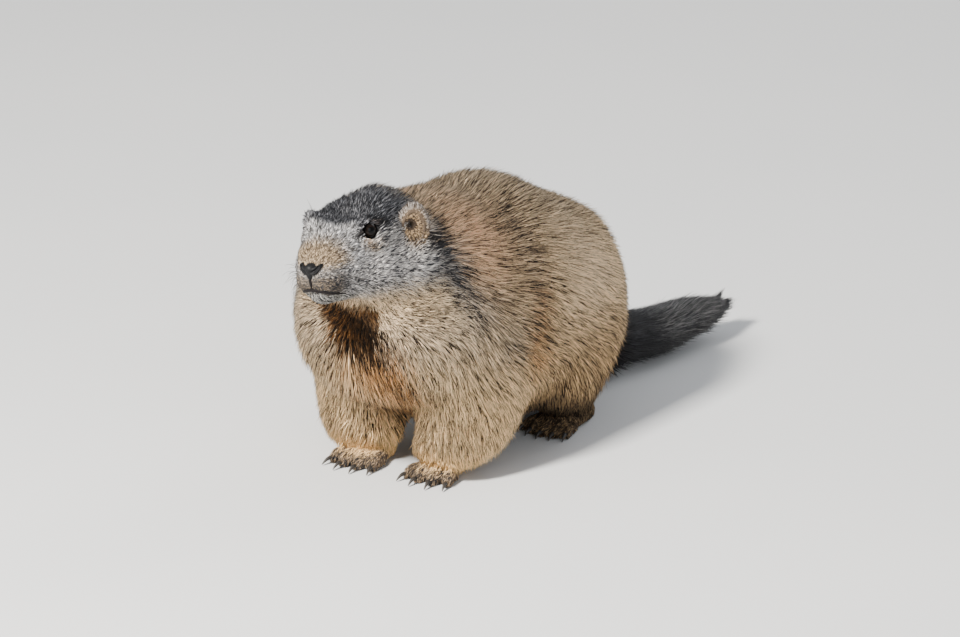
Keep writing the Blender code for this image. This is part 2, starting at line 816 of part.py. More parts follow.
def dress(made):
    """Give each piece its own material."""
    for name, obj in made.items():
        colour, roughness = FINISHES[FINISH_OF[name.split("_")[0]]]
        material = bpy.data.materials.new(name)
        material.use_nodes = True
        shader = material.node_tree.nodes["Principled BSDF"]
        shader.inputs["Base Color"].default_value = (*colour, 1.0)
        shader.inputs["Roughness"].default_value = roughness
        obj.data.materials.clear()
        obj.data.materials.append(material)
        for face in obj.data.polygons:
            face.material_index = 0


def rest_on_origin(made):
    """Move all pieces so that the origin is the middle of the footprint on the floor."""
    points = [vert.co for obj in made.values() for vert in obj.data.vertices]
    low = [min(point[axis] for point in points) for axis in range(3)]
    high = [max(point[axis] for point in points) for axis in range(3)]
    shift = Vector((-(low[0] + high[0]) / 2, -(low[1] + high[1]) / 2, -low[2]))
    for obj in made.values():
        obj.data.transform(Matrix.Translation(shift))
    return shift


def main():
    """Build the marmot and return how far it was moved from its body places."""
    clear_scene()
    pieces = new_collection("alpine_marmot")
    helpers = new_collection("helpers")
    made = part_body(build_whole(helpers), pieces, helpers)
    cut_mouth(made, helpers)
    add_eyes(made, pieces, helpers)
    add_nose(made, pieces, helpers)
    add_ears(made, pieces, helpers)
    add_claws(made, helpers)
    dress(made)
    return rest_on_origin(made)


SHIFT = main()
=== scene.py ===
"""Alpine marmot, life size: skin, coat, eyes, nose, ears, claws and whiskers over the packed model.

Sizes are in metres. Body places are counted from the floor between the fore paws, and head places
from the nose tip: x to the animal's left, y back and z up. SHIFT moves a body place into the frame.
"""

import math

import bmesh
import bpy
import numpy as np
from mathutils import Matrix, Vector
from mathutils.bvhtree import BVHTree
from mathutils.kdtree import KDTree


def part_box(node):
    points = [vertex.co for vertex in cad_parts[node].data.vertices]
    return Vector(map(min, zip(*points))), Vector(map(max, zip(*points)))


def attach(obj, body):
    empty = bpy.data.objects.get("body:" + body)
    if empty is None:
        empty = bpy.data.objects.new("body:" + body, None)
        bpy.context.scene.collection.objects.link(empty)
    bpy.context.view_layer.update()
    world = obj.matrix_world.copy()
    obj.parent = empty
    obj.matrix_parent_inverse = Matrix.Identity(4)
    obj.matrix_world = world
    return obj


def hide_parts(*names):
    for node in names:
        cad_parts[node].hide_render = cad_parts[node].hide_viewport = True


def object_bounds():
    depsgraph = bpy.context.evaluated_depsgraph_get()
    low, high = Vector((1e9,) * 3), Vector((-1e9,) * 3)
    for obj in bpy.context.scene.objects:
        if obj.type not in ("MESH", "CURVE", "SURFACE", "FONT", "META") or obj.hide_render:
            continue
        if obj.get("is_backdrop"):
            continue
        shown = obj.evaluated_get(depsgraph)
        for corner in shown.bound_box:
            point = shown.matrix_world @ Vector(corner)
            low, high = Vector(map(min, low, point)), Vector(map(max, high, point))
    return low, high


bl_info = {
    "name": "Alpine Marmot Model",
    "version": (1, 0, 0),
    "blender": (4, 5, 0),
    "location": "3D View > Sidebar > Marmot",
    "description": "Builds the skin, coat, face and claws of a life-size marmot",
    "category": "Object",
}

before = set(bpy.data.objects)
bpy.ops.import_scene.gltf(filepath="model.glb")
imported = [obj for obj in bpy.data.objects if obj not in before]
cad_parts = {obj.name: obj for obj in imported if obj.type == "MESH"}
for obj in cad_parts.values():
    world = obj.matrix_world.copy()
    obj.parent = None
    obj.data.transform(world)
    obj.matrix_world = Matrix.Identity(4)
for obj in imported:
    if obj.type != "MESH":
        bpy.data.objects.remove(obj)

# Head: the nose tip, how the face is turned, and its reach back from the nose
NOSE_TIP = Vector((0.004, -0.128, 0.206))
HEAD_YAW = math.radians(5.0)
HEAD_ROLL = math.radians(-6.0)
HEAD_PIVOT_BACK = 0.06

# Eye middle and direction, in the head's frame, with half the width and height of the lids' opening
# and of the rim that hair keeps clear of
EYE_PLACE = Vector((0.0232, 0.0568, 0.0205))
EYE_DROP = 0.0007
EYE_TURN = math.radians(60.0)
EYE_LIFT = math.radians(8.0)
EYE_MIDDLE = np.array(EYE_PLACE) - [0, 0, EYE_DROP]
LID_OPENING = (0.0067, 0.0063)
LID_RIM = (0.0082, 0.0069)
TEAR_CORNER = [(0.0270, 0.0452, 0.0218), (0.0258, 0.0430, 0.0207), (0.0243, 0.0406, 0.0190)]

# Ear middle, its half width, thickness and height, and how far out and up its opening lies
EAR_PLACE = Vector((0.0430, 0.0905, 0.0115))
EAR_HALF = (0.0105, 0.0050, 0.0165)
EAR_HOLE = (0.0020, 0.0036)

# Paws: the wrist or heel on each side, and the length of paw and toes by the number of toes
FORE_PAW = {"left": (0.037, 0.012), "right": (-0.032, 0.009)}
HIND_PAW = {"left": (0.053, 0.166), "right": (-0.053, 0.166)}
PAW_LENGTH = {4: 0.045, 5: 0.070}
TOE_REACH = {4: 0.021, 5: 0.023}
TOE_RADIUS = 0.0056
SIDES = {"left": 1, "right": -1}

# Room kept inside the solid model's box, at its sides and at its floor
BOX_GAP = 0.0006
FLOOR_GAP = 0.0008

BULK_VOXEL = 0.0034
FINE_VOXEL = 0.0023
TAIL_START = 0.262
TAIL_END = 0.447

# Small swells and hollows of the coated outline: a place, how far it reaches and how it moves.
# The first set is in the head's frame and the second, which is mirrored, in the body's.
HEAD_SWELLS = [
    ((0.0, 0.056, 0.036), (0.028, 0.016, 0.014), (0.0, 0.0, -0.0054)),
    ((0.0, 0.070, 0.040), (0.044, 0.022, 0.016), (0.0, 0.0, -0.0088)),
    ((-0.018, 0.096, 0.040), (0.016, 0.018, 0.016), (0.0, 0.0, -0.0060)),
    ((0.020, 0.098, 0.038), (0.014, 0.014, 0.014), (0.0, 0.0, -0.0020)),
    ((0.0, 0.112, 0.034), (0.036, 0.018, 0.016), (0.0, 0.0, 0.0026)),
    ((0.050, 0.083, 0.009), (0.0085, 0.0085, 0.0085), (-0.0054, 0.0056, -0.0010)),
    ((-0.050, 0.083, 0.003), (0.0085, 0.0085, 0.0085), (0.0054, 0.0056, -0.0010)),
    ((0.025, 0.050, 0.030), (0.012, 0.016, 0.012), (0.0, 0.0, 0.0042)),
    ((-0.025, 0.052, 0.030), (0.014, 0.018, 0.013), (-0.0012, 0.0, 0.0066)),
    ((-0.015, 0.020, 0.012), (0.010, 0.012, 0.009), (-0.0036, -0.0010, 0.0)),
    ((0.015, 0.020, 0.012), (0.010, 0.012, 0.009), (0.0018, -0.0010, 0.0)),
]
BODY_SWELLS = [
    ((0.0, 0.045, 0.223), (0.045, 0.030, 0.020), (0.0, 0.0, 0.0040)),
    ((0.0, 0.114, 0.214), (0.040, 0.026, 0.020), (0.0, 0.0, 0.0034)),
    ((0.034, 0.166, 0.197), (0.040, 0.022, 0.022), (0.0, 0.0, -0.0066)),
    ((0.062, 0.190, 0.170), (0.030, 0.022, 0.024), (0.0, 0.0030, 0.0020)),
    ((0.090, 0.203, 0.108), (0.040, 0.036, 0.046), (-0.0046, -0.0050, 0.0)),
    ((0.103, 0.112, 0.085), (0.012, 0.012, 0.050), (-0.0034, 0.0, 0.0)),
    ((0.042, -0.013, 0.014), (0.030, 0.010, 0.008), (0.0, -0.0010, 0.0024)),
    ((0.042, -0.016, 0.031), (0.034, 0.012, 0.012), (0.0, 0.0044, 0.0)),
]
CROWN_LEVEL = 0.2458
FLANK_LEVEL = 0.0950

FLESH = [
    "torso",
    "neck",
    "head",
    "tail",
    "foreleg_left",
    "foreleg_right",
    "hindleg_left",
    "hindleg_right",
    "forepaw_left",
    "forepaw_right",
    "hindpaw_left",
    "hindpaw_right",
]


def head_frame():
    """The head's frame: the nose tip, turned by yaw and rolled about the skull's middle."""
    yaw = Matrix.Rotation(HEAD_YAW, 4, "Z")
    lift = Matrix.Translation((0, HEAD_PIVOT_BACK, 0))
    roll = lift @ Matrix.Rotation(HEAD_ROLL, 4, "Y") @ lift.inverted()
    return Matrix.Translation(NOSE_TIP) @ yaw @ roll


HEAD = head_frame()
HEAD_TURN = HEAD.to_3x3().to_4x4()
HEAD_AXES = np.array(HEAD.to_3x3())


def body_shift():
    """How far body places lie from the frame's, from the left eye's place in both."""
    low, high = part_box("eye_left")
    return (Vector(low) + Vector(high)) / 2 - HEAD @ EYE_PLACE


SHIFT = body_shift()


class MarmotSizes(bpy.types.PropertyGroup):
    """Sizes of the separate small pieces."""

    eye_radius: bpy.props.FloatProperty(
        name="Eye radius", description="Radius of each eyeball", default=0.0078, unit="LENGTH"
    )
    lid_thickness: bpy.props.FloatProperty(
        name="Lid thickness", description="How far the lids stand out", default=0.0006, unit="LENGTH"
    )
    fore_claw: bpy.props.FloatProperty(
        name="Fore claw", description="Length of a fore claw", default=0.0130, unit="LENGTH"
    )
    hind_claw: bpy.props.FloatProperty(
        name="Hind claw", description="Length of a hind claw", default=0.0110, unit="LENGTH"
    )
    whisker_length: bpy.props.FloatProperty(
        name="Whisker length", description="Length of the longest whisker", default=0.042, unit="LENGTH"
    )
    whisker_radius: bpy.props.FloatProperty(
        name="Whisker radius", description="Radius of a whisker at its root", default=0.00022, unit="LENGTH"
    )


class MarmotCoat(bpy.types.PropertyGroup):
    """How long, wide and dense the coat is."""

    seed: bpy.props.IntProperty(name="Seed", description="Seed of the coat's random draws", default=7)
    trunk_length: bpy.props.FloatProperty(
        name="Trunk hair", description="Length of the hair on back and flanks", default=0.032, unit="LENGTH"
    )
    leg_length: bpy.props.FloatProperty(
        name="Leg hair", description="Length of the hair on the legs", default=0.025, unit="LENGTH"
    )
    tail_length: bpy.props.FloatProperty(
        name="Tail hair", description="Length of the hair on the tail", default=0.042, unit="LENGTH"
    )
    face_length: bpy.props.FloatProperty(
        name="Face hair", description="Length of the hair before the eyes", default=0.0056, unit="LENGTH"
    )
    strand_width: bpy.props.FloatProperty(
        name="Tuft half width", description="Half the width of a long tuft", default=0.00046, unit="LENGTH"
    )
    density: bpy.props.FloatProperty(
        name="Density", description="Share of the full number of tufts", default=1.0, min=0.05, max=1.5
    )
    clumping: bpy.props.FloatProperty(
        name="Clumping", description="How far tips draw together into locks", default=0.45, min=0.0, max=1.0
    )


def colour_property(name, description, default):
    """A colour that a user may change, as linear RGB."""
    return bpy.props.FloatVectorProperty(
        name=name, description=description, default=default, size=3, subtype="COLOR", min=0.0, max=1.0
    )


class MarmotColours(bpy.types.PropertyGroup):
    """The coat's colours."""

    straw: colour_property("Straw", "Light hair of flanks and legs", (0.95, 0.70, 0.42))
    rust: colour_property("Rust", "Reddish tan hair of the shoulders", (1.00, 0.63, 0.38))
    orange: colour_property("Orange", "Throat and chest hair", (0.40, 0.18, 0.06))
    umber: colour_property("Umber", "Dark hair among the light", (0.060, 0.040, 0.026))
    ash: colour_property("Ash", "Grey hair of the back", (0.74, 0.56, 0.37))
    pale: colour_property("Pale", "Whitish hair of the face", (0.74, 0.72, 0.72))
    slate: colour_property("Slate", "Dark grey hair of the crown", (0.042, 0.042, 0.047))
    smoke: colour_property("Smoke", "Mid grey hair of the cheeks", (0.48, 0.46, 0.44))
    fawn: colour_property("Fawn", "Tan hair of the muzzle and ears", (0.78, 0.54, 0.31))
    sable: colour_property("Sable", "Near-black hair of the tail", (0.020, 0.019, 0.021))


class MarmotStudio(bpy.types.PropertyGroup):
    """Camera and lights."""

    azimuth: bpy.props.FloatProperty(
        name="Azimuth",
        description="Camera angle from the front",
        default=math.radians(34),
        subtype="ANGLE",
    )
    elevation: bpy.props.FloatProperty(
        name="Elevation",
        description="Camera angle above the floor",
        default=math.radians(19),
        subtype="ANGLE",
    )
    distance: bpy.props.FloatProperty(
        name="Distance", description="Camera distance from the paws", default=6.0, unit="LENGTH"
    )
    pixels_per_metre: bpy.props.FloatProperty(
        name="Scale", description="Picture scale at the paws, in pixels a metre", default=1240.0
    )
    key_power: bpy.props.FloatProperty(
        name="Key light", description="Power of the key light", default=340.0
    )
    fill_power: bpy.props.FloatProperty(
        name="Fill light", description="Power of the fill light", default=26.0
    )
    sky: bpy.props.FloatProperty(name="Sky", description="Strength of the light all round", default=0.58)


GROUPS = {
    "marmot_sizes": MarmotSizes,
    "marmot_coat": MarmotCoat,
    "marmot_colours": MarmotColours,
    "marmot_studio": MarmotStudio,
}


def eased(stations, place):
    """The centre and radii at a place along stations, on a smooth curve through all of them."""
    last = len(stations) - 1
    index = min(int(place), last - 1)
    share = place - index
    rows = [stations[max(0, min(last, index + step))] for step in (-1, 0, 1, 2)]
    found = []
    for item in (0, 1):
        before, start, end, after = (Vector(row[item]) for row in rows)
        found.append(
            0.5
            * (
                2 * start
                + (end - before) * share
                + (2 * before - 5 * start + 4 * end - after) * share**2
                + (3 * start - before - 3 * end + after) * share**3
            )
        )
    return found


class Clay:
    """Closed forms gathered as points and faces."""

    def __init__(self):
        self.points = []
        self.faces = []
        self.balls = {}

    def ball(self, segments):
        """The points and faces of a unit ball, made once for each number of segments."""
        if segments not in self.balls:
            bm = bmesh.new()
            bmesh.ops.create_uvsphere(bm, u_segments=segments, v_segments=segments * 2 // 3, radius=1.0)
            points = [vert.co.copy() for vert in bm.verts]
            faces = [[vert.index for vert in face.verts] for face in bm.faces]
            bm.free()
            self.balls[segments] = (points, faces)
        return self.balls[segments]

    def egg(self, centre, radii, turn=None, segments=24):
        """Add an ellipsoid, turned about its centre."""
        points, faces = self.ball(segments)
        scale = Matrix.Diagonal((*radii, 1.0))
        place = Matrix.Translation(centre) @ (turn or Matrix.Identity(4)) @ scale
        first = len(self.points)
        self.points += [place @ point for point in points]
        self.faces += [[first + index for index in face] for face in faces]

    def run(self, stations, steps=6, place=None, segments=24):
        """Add eggs close together along stations, each a centre and radii."""
        place = place or Matrix.Identity(4)
        turn = place.to_3x3().to_4x4()
        for step in range((len(stations) - 1) * steps + 1):
            centre, radii = eased(stations, step / steps)
            self.egg(place @ centre, radii, turn, segments)

    def add_mesh(self, mesh):
        """Add a finished closed mesh."""
        first = len(self.points)
        self.points += [vert.co.copy() for vert in mesh.vertices]
        self.faces += [[first + index for index in face.vertices] for face in mesh.polygons]

    def to_object(self, name):
        """The gathered forms as one object."""
        mesh = bpy.data.meshes.new(name)
        mesh.from_pydata(self.points, [], self.faces)
        return link(name, mesh)


def link(name, mesh):
    """A new object in the scene."""
    obj = bpy.data.objects.new(name, mesh)
    bpy.context.scene.collection.objects.link(obj)
    return obj


def smooth(mesh):
    """Shade all faces of a mesh smooth."""
    for polygon in mesh.polygons:
        polygon.use_smooth = True


def settle(obj):
    """Apply an object's modifiers by swapping in its evaluated mesh."""
    graph = bpy.context.evaluated_depsgraph_get()
    obj.data = bpy.data.meshes.new_from_object(obj.evaluated_get(graph))
    obj.modifiers.clear()
    return obj


def melt(obj, voxel, rounds):
    """Melt overlapping forms into one skin and relax it."""
    remesh = obj.modifiers.new("melt", "REMESH")
    remesh.mode = "VOXEL"
    remesh.voxel_size = voxel
    relax = obj.modifiers.new("relax", "SMOOTH")
    relax.factor = 0.5
    relax.iterations = rounds
    return settle(obj)


def add_trunk(clay):
    """Chest, shoulders, ribs, loin and rump, then the neck, as cross-sections."""
    trunk = [
        ((0, -0.034, 0.134), (0.070, 0.038, 0.058)),
        ((0, 0.000, 0.130), (0.091, 0.046, 0.072)),
        ((0, 0.045, 0.122), (0.098, 0.052, 0.085)),
        ((0, 0.095, 0.117), (0.100, 0.054, 0.100)),
        ((0, 0.145, 0.113), (0.102, 0.056, 0.098)),
        ((0, 0.183, 0.104), (0.098, 0.056, 0.086)),
        ((0, 0.204, 0.098), (0.085, 0.052, 0.080)),
    ]
    neck = [
        ((0, 0.085, 0.138), (0.082, 0.050, 0.074)),
        ((0, 0.040, 0.149), (0.080, 0.048, 0.075)),
        ((0.001, 0.000, 0.164), (0.071, 0.044, 0.065)),
        ((0.001, -0.030, 0.183), (0.060, 0.040, 0.060)),
    ]
    clay.run(trunk, steps=8, segments=36)
    clay.run(neck, steps=8, segments=32)


def add_skull(clay):
    """Cheeks, crown, forehead, muzzle and chin in the head's frame."""
    skull = [
        ((0, 0.0145, -0.0065), (0.0168, 0.0142, 0.0150)),
        ((0, 0.0300, -0.0015), (0.0235, 0.0180, 0.0205)),
        ((0, 0.0480, 0.0025), (0.0320, 0.0220, 0.0280)),
        ((0, 0.0680, 0.0040), (0.0395, 0.0250, 0.0360)),
        ((0, 0.0880, 0.0030), (0.0440, 0.0280, 0.0410)),
        ((0, 0.1020, 0.0000), (0.0460, 0.0280, 0.0410)),
    ]
    clay.run(skull, place=HEAD, segments=28)
    clay.egg(HEAD @ Vector((0, 0.024, -0.0215)), (0.0130, 0.0170, 0.0115), HEAD_TURN)
    clay.egg(HEAD @ Vector((0, 0.044, -0.0200)), (0.0200, 0.0240, 0.0160), HEAD_TURN)
    for side in SIDES.values():
        clay.egg(HEAD @ Vector((side * 0.0210, 0.068, -0.0150)), (0.0260, 0.0320, 0.0270), HEAD_TURN)
        clay.egg(HEAD @ Vector((side * 0.0095, 0.017, -0.0115)), (0.0115, 0.0135, 0.0105), HEAD_TURN)
        clay.egg(HEAD @ Vector((side * 0.0140, 0.044, -0.0110)), (0.0185, 0.0230, 0.0180), HEAD_TURN)
        clay.egg(HEAD @ Vector((side * 0.0200, 0.056, 0.0225)), (0.0130, 0.0150, 0.0110), HEAD_TURN)


def add_limbs(clay):
    """The fore legs, the folded hind legs and the tail."""
    for side in SIDES.values():
        fore = [
            ((side * 0.054, 0.032, 0.108), (0.044, 0.050, 0.046)),
            ((side * 0.053, 0.034, 0.076), (0.041, 0.047, 0.036)),
            ((side * 0.049, 0.027, 0.048), (0.038, 0.040, 0.028)),
            ((side * 0.043, 0.017, 0.028), (0.033, 0.031, 0.017)),
        ]
        hind = [
            ((side * 0.056, 0.152, 0.090), (0.045, 0.060, 0.058)),
            ((side * 0.058, 0.150, 0.062), (0.037, 0.048, 0.038)),
            ((side * 0.053, 0.164, 0.032), (0.025, 0.032, 0.022)),
        ]
        clay.run(fore)
        clay.run(hind)
    tail = [
        ((0.002, 0.228, 0.058), (0.030, 0.028, 0.030)),
        ((0.008, 0.272, 0.037), (0.026, 0.026, 0.025)),
        ((0.018, 0.320, 0.027), (0.026, 0.026, 0.022)),
        ((0.028, 0.372, 0.027), (0.022, 0.026, 0.018)),
        ((0.034, 0.408, 0.028), (0.011, 0.018, 0.011)),
    ]
    clay.run(tail)


def paws():
    """Each paw's side, heel place and number of toes."""
    for name, side in SIDES.items():
        yield side, Vector((*FORE_PAW[name], 0)), 4
        yield side, Vector((*HIND_PAW[name], 0)), 5


def toes(side, heel, count):
    """Each toe's knuckle, tip and heading."""
    for number in range(count):
        share = number / (count - 1) - 0.5
        turn = side * 0.04 + share * 0.50
        ahead = Vector((math.sin(turn), -math.cos(turn), 0))
        knuckle = heel + Vector((share * 0.030, -0.18 * PAW_LENGTH[count], 0.0065))
        reach = TOE_REACH[count] * (1.0 - 0.7 * abs(share) ** 1.6)
        yield knuckle, knuckle + ahead * reach, ahead


def add_paw(clay, side, heel, count):
    """A palm or sole with its toes spread ahead of it."""
    length = PAW_LENGTH[count]
    palm = [
        (heel + Vector((0, 0.25 * length, 0.010)), (0.0155, 0.0140, 0.0115)),
        (heel + Vector((0, -0.10 * length, 0.0085)), (0.0180, 0.0150, 0.0090)),
    ]
    clay.run(palm)
    for knuckle, tip, _ in toes(side, heel, count):
        toe = [
            (knuckle, (TOE_RADIUS,) * 3),
            (knuckle.lerp(tip, 0.55) + Vector((0, 0, 0.0012)), (TOE_RADIUS * 0.95,) * 3),
            (tip - Vector((0, 0, 0.0014)), (TOE_RADIUS * 0.82,) * 3),
        ]
        clay.run(toe, segments=12)


def rows(vectors):
    """Vectors as an array with one row each."""
    return np.array([tuple(vector) for vector in vectors])


def share_of(values, low, high):
    """Where values lie from low to high, eased and held between 0 and 1."""
    share = np.clip((values - low) / (high - low), 0.0, 1.0)
    return share * share * (3 - 2 * share)


def unit(vectors):
    """Vectors at length one."""
    return vectors / np.maximum(np.linalg.norm(vectors, axis=-1, keepdims=True), 1e-9)


def in_head(points):
    """Body places as head places."""
    inverse = np.array(HEAD.inverted())
    return points @ inverse[:3, :3].T + inverse[:3, 3]


def folded(points):
    """Places with the right side laid over the left."""
    return np.concatenate([np.abs(points[:, :1]), points[:, 1:]], axis=1)


def blob(points, centre, radii):
    """1 at a centre, falling smoothly to 0 at about twice the radii."""
    away = ((points - np.array(centre)) / np.array(radii)) ** 2
    return np.exp(-away.sum(axis=1))


def on_head(points):
    """1 on the head and 0 behind it and below it."""
    head = in_head(points)
    return (1 - share_of(head[:, 1], 0.085, 0.120)) * share_of(points[:, 2], 0.120, 0.165)


def coat_depth(points):
    """How far the skin lies below the tips of the coat."""
    head = in_head(points)
    face = 0.0005 + 0.0030 * share_of(head[:, 1], 0.012, 0.090)
    legs = share_of(points[:, 2], 0.060, 0.110)
    body = 0.0035 * (1 - legs) + 0.0065 * legs
    paws_share = 1 - share_of(points[:, 2], 0.022, 0.045)
    body = body * (1 - paws_share) + 0.0008 * paws_share
    head_share = on_head(points)
    body = body * (1 - head_share) + face * head_share
    tail_share = share_of(points[:, 1], 0.250, 0.275)
    return body * (1 - tail_share) + 0.0090 * tail_share


def lie(points, normals):
    """The way the coat lies at each place, along the surface."""
    x, y, z = points.T
    side = np.where(x >= 0, 1.0, -1.0)
    flank = share_of(np.abs(x), 0.02, 0.10)
    ones = np.ones_like(x)
    way = np.stack([0.10 * side * flank, ones, -0.10 - 0.62 * flank], axis=1)

    def lean(share, vector):
        nonlocal way
        share = share[:, None]
        way = way * (1 - share) + np.stack([component * ones for component in vector], axis=1) * share

    front = 1 - share_of(y, -0.030, 0.050)
    lean(front * (1 - share_of(z, 0.165, 0.215)), (0.25 * side, 0.30, -1.0))
    lean(1 - share_of(z, 0.050, 0.115), (0.10 * side, 0.20, -1.0))
    head = in_head(points)
    outward = 0.55 * np.sign(head[:, 0]) * share_of(np.abs(head[:, 0]), 0.0, 0.03)
    face_way = np.stack([outward, ones, 0.25 - 12.0 * head[:, 0] ** 2], 1)
    below = 1 - share_of(head[:, 2], -0.030, -0.008)
    face_way[:, 2] -= 0.75 * below
    face_way = face_way @ HEAD_AXES.T
    share = on_head(points)[:, None]
    way = way * (1 - share) + face_way * share
    paw = (1 - share_of(z, 0.022, 0.038)) * (y < TAIL_START) * share_of(normals[:, 2], -0.15, 0.40)
    lean(paw, (0.0 * side, -1.0, -0.35))
    tail = share_of(y, 0.250, 0.275)
    lean(tail, (0.16, 1.0, -0.05))
    inward = (way * normals).sum(axis=1, keepdims=True)
    end = tail[:, None] * share_of(inward / np.linalg.norm(way, axis=1, keepdims=True), 0.70, 0.95)
    return unit(way - normals * inward * (1 - 0.9 * end))


def colours():
    """The coat's colours as arrays."""
    group = bpy.context.scene.marmot_colours
    names = ("straw", "rust", "orange", "umber", "ash", "pale", "slate", "smoke", "fawn", "sable")
    return {name: np.array(getattr(group, name)) for name in names}


# Lines that coat marks and painted shade follow on the left side: behind the ear and down the neck,
# in head places, down the chest and down the flank before the haunch, in body places
EAR_STREAK = [(0.045, 0.114, 0.016), (0.056, 0.100, 0.002), (0.062, 0.100, -0.010), (0.066, 0.101, -0.030)]
NECK_STREAK = [(0.066, 0.101, -0.024), (0.069, 0.108, -0.040), (0.072, 0.116, -0.052)]
CHEST_STREAK = [
    (0.020, -0.071, 0.146),
    (0.029, -0.068, 0.130),
    (0.036, -0.062, 0.114),
    (0.037, -0.052, 0.096),
]
FLANK_BAND = [
    (0.046, 0.066, 0.210),
    (0.058, 0.060, 0.200),
    (0.078, 0.054, 0.180),
    (0.090, 0.046, 0.160),
    (0.096, 0.046, 0.142),
    (0.097, 0.044, 0.120),
    (0.094, 0.056, 0.096),
]


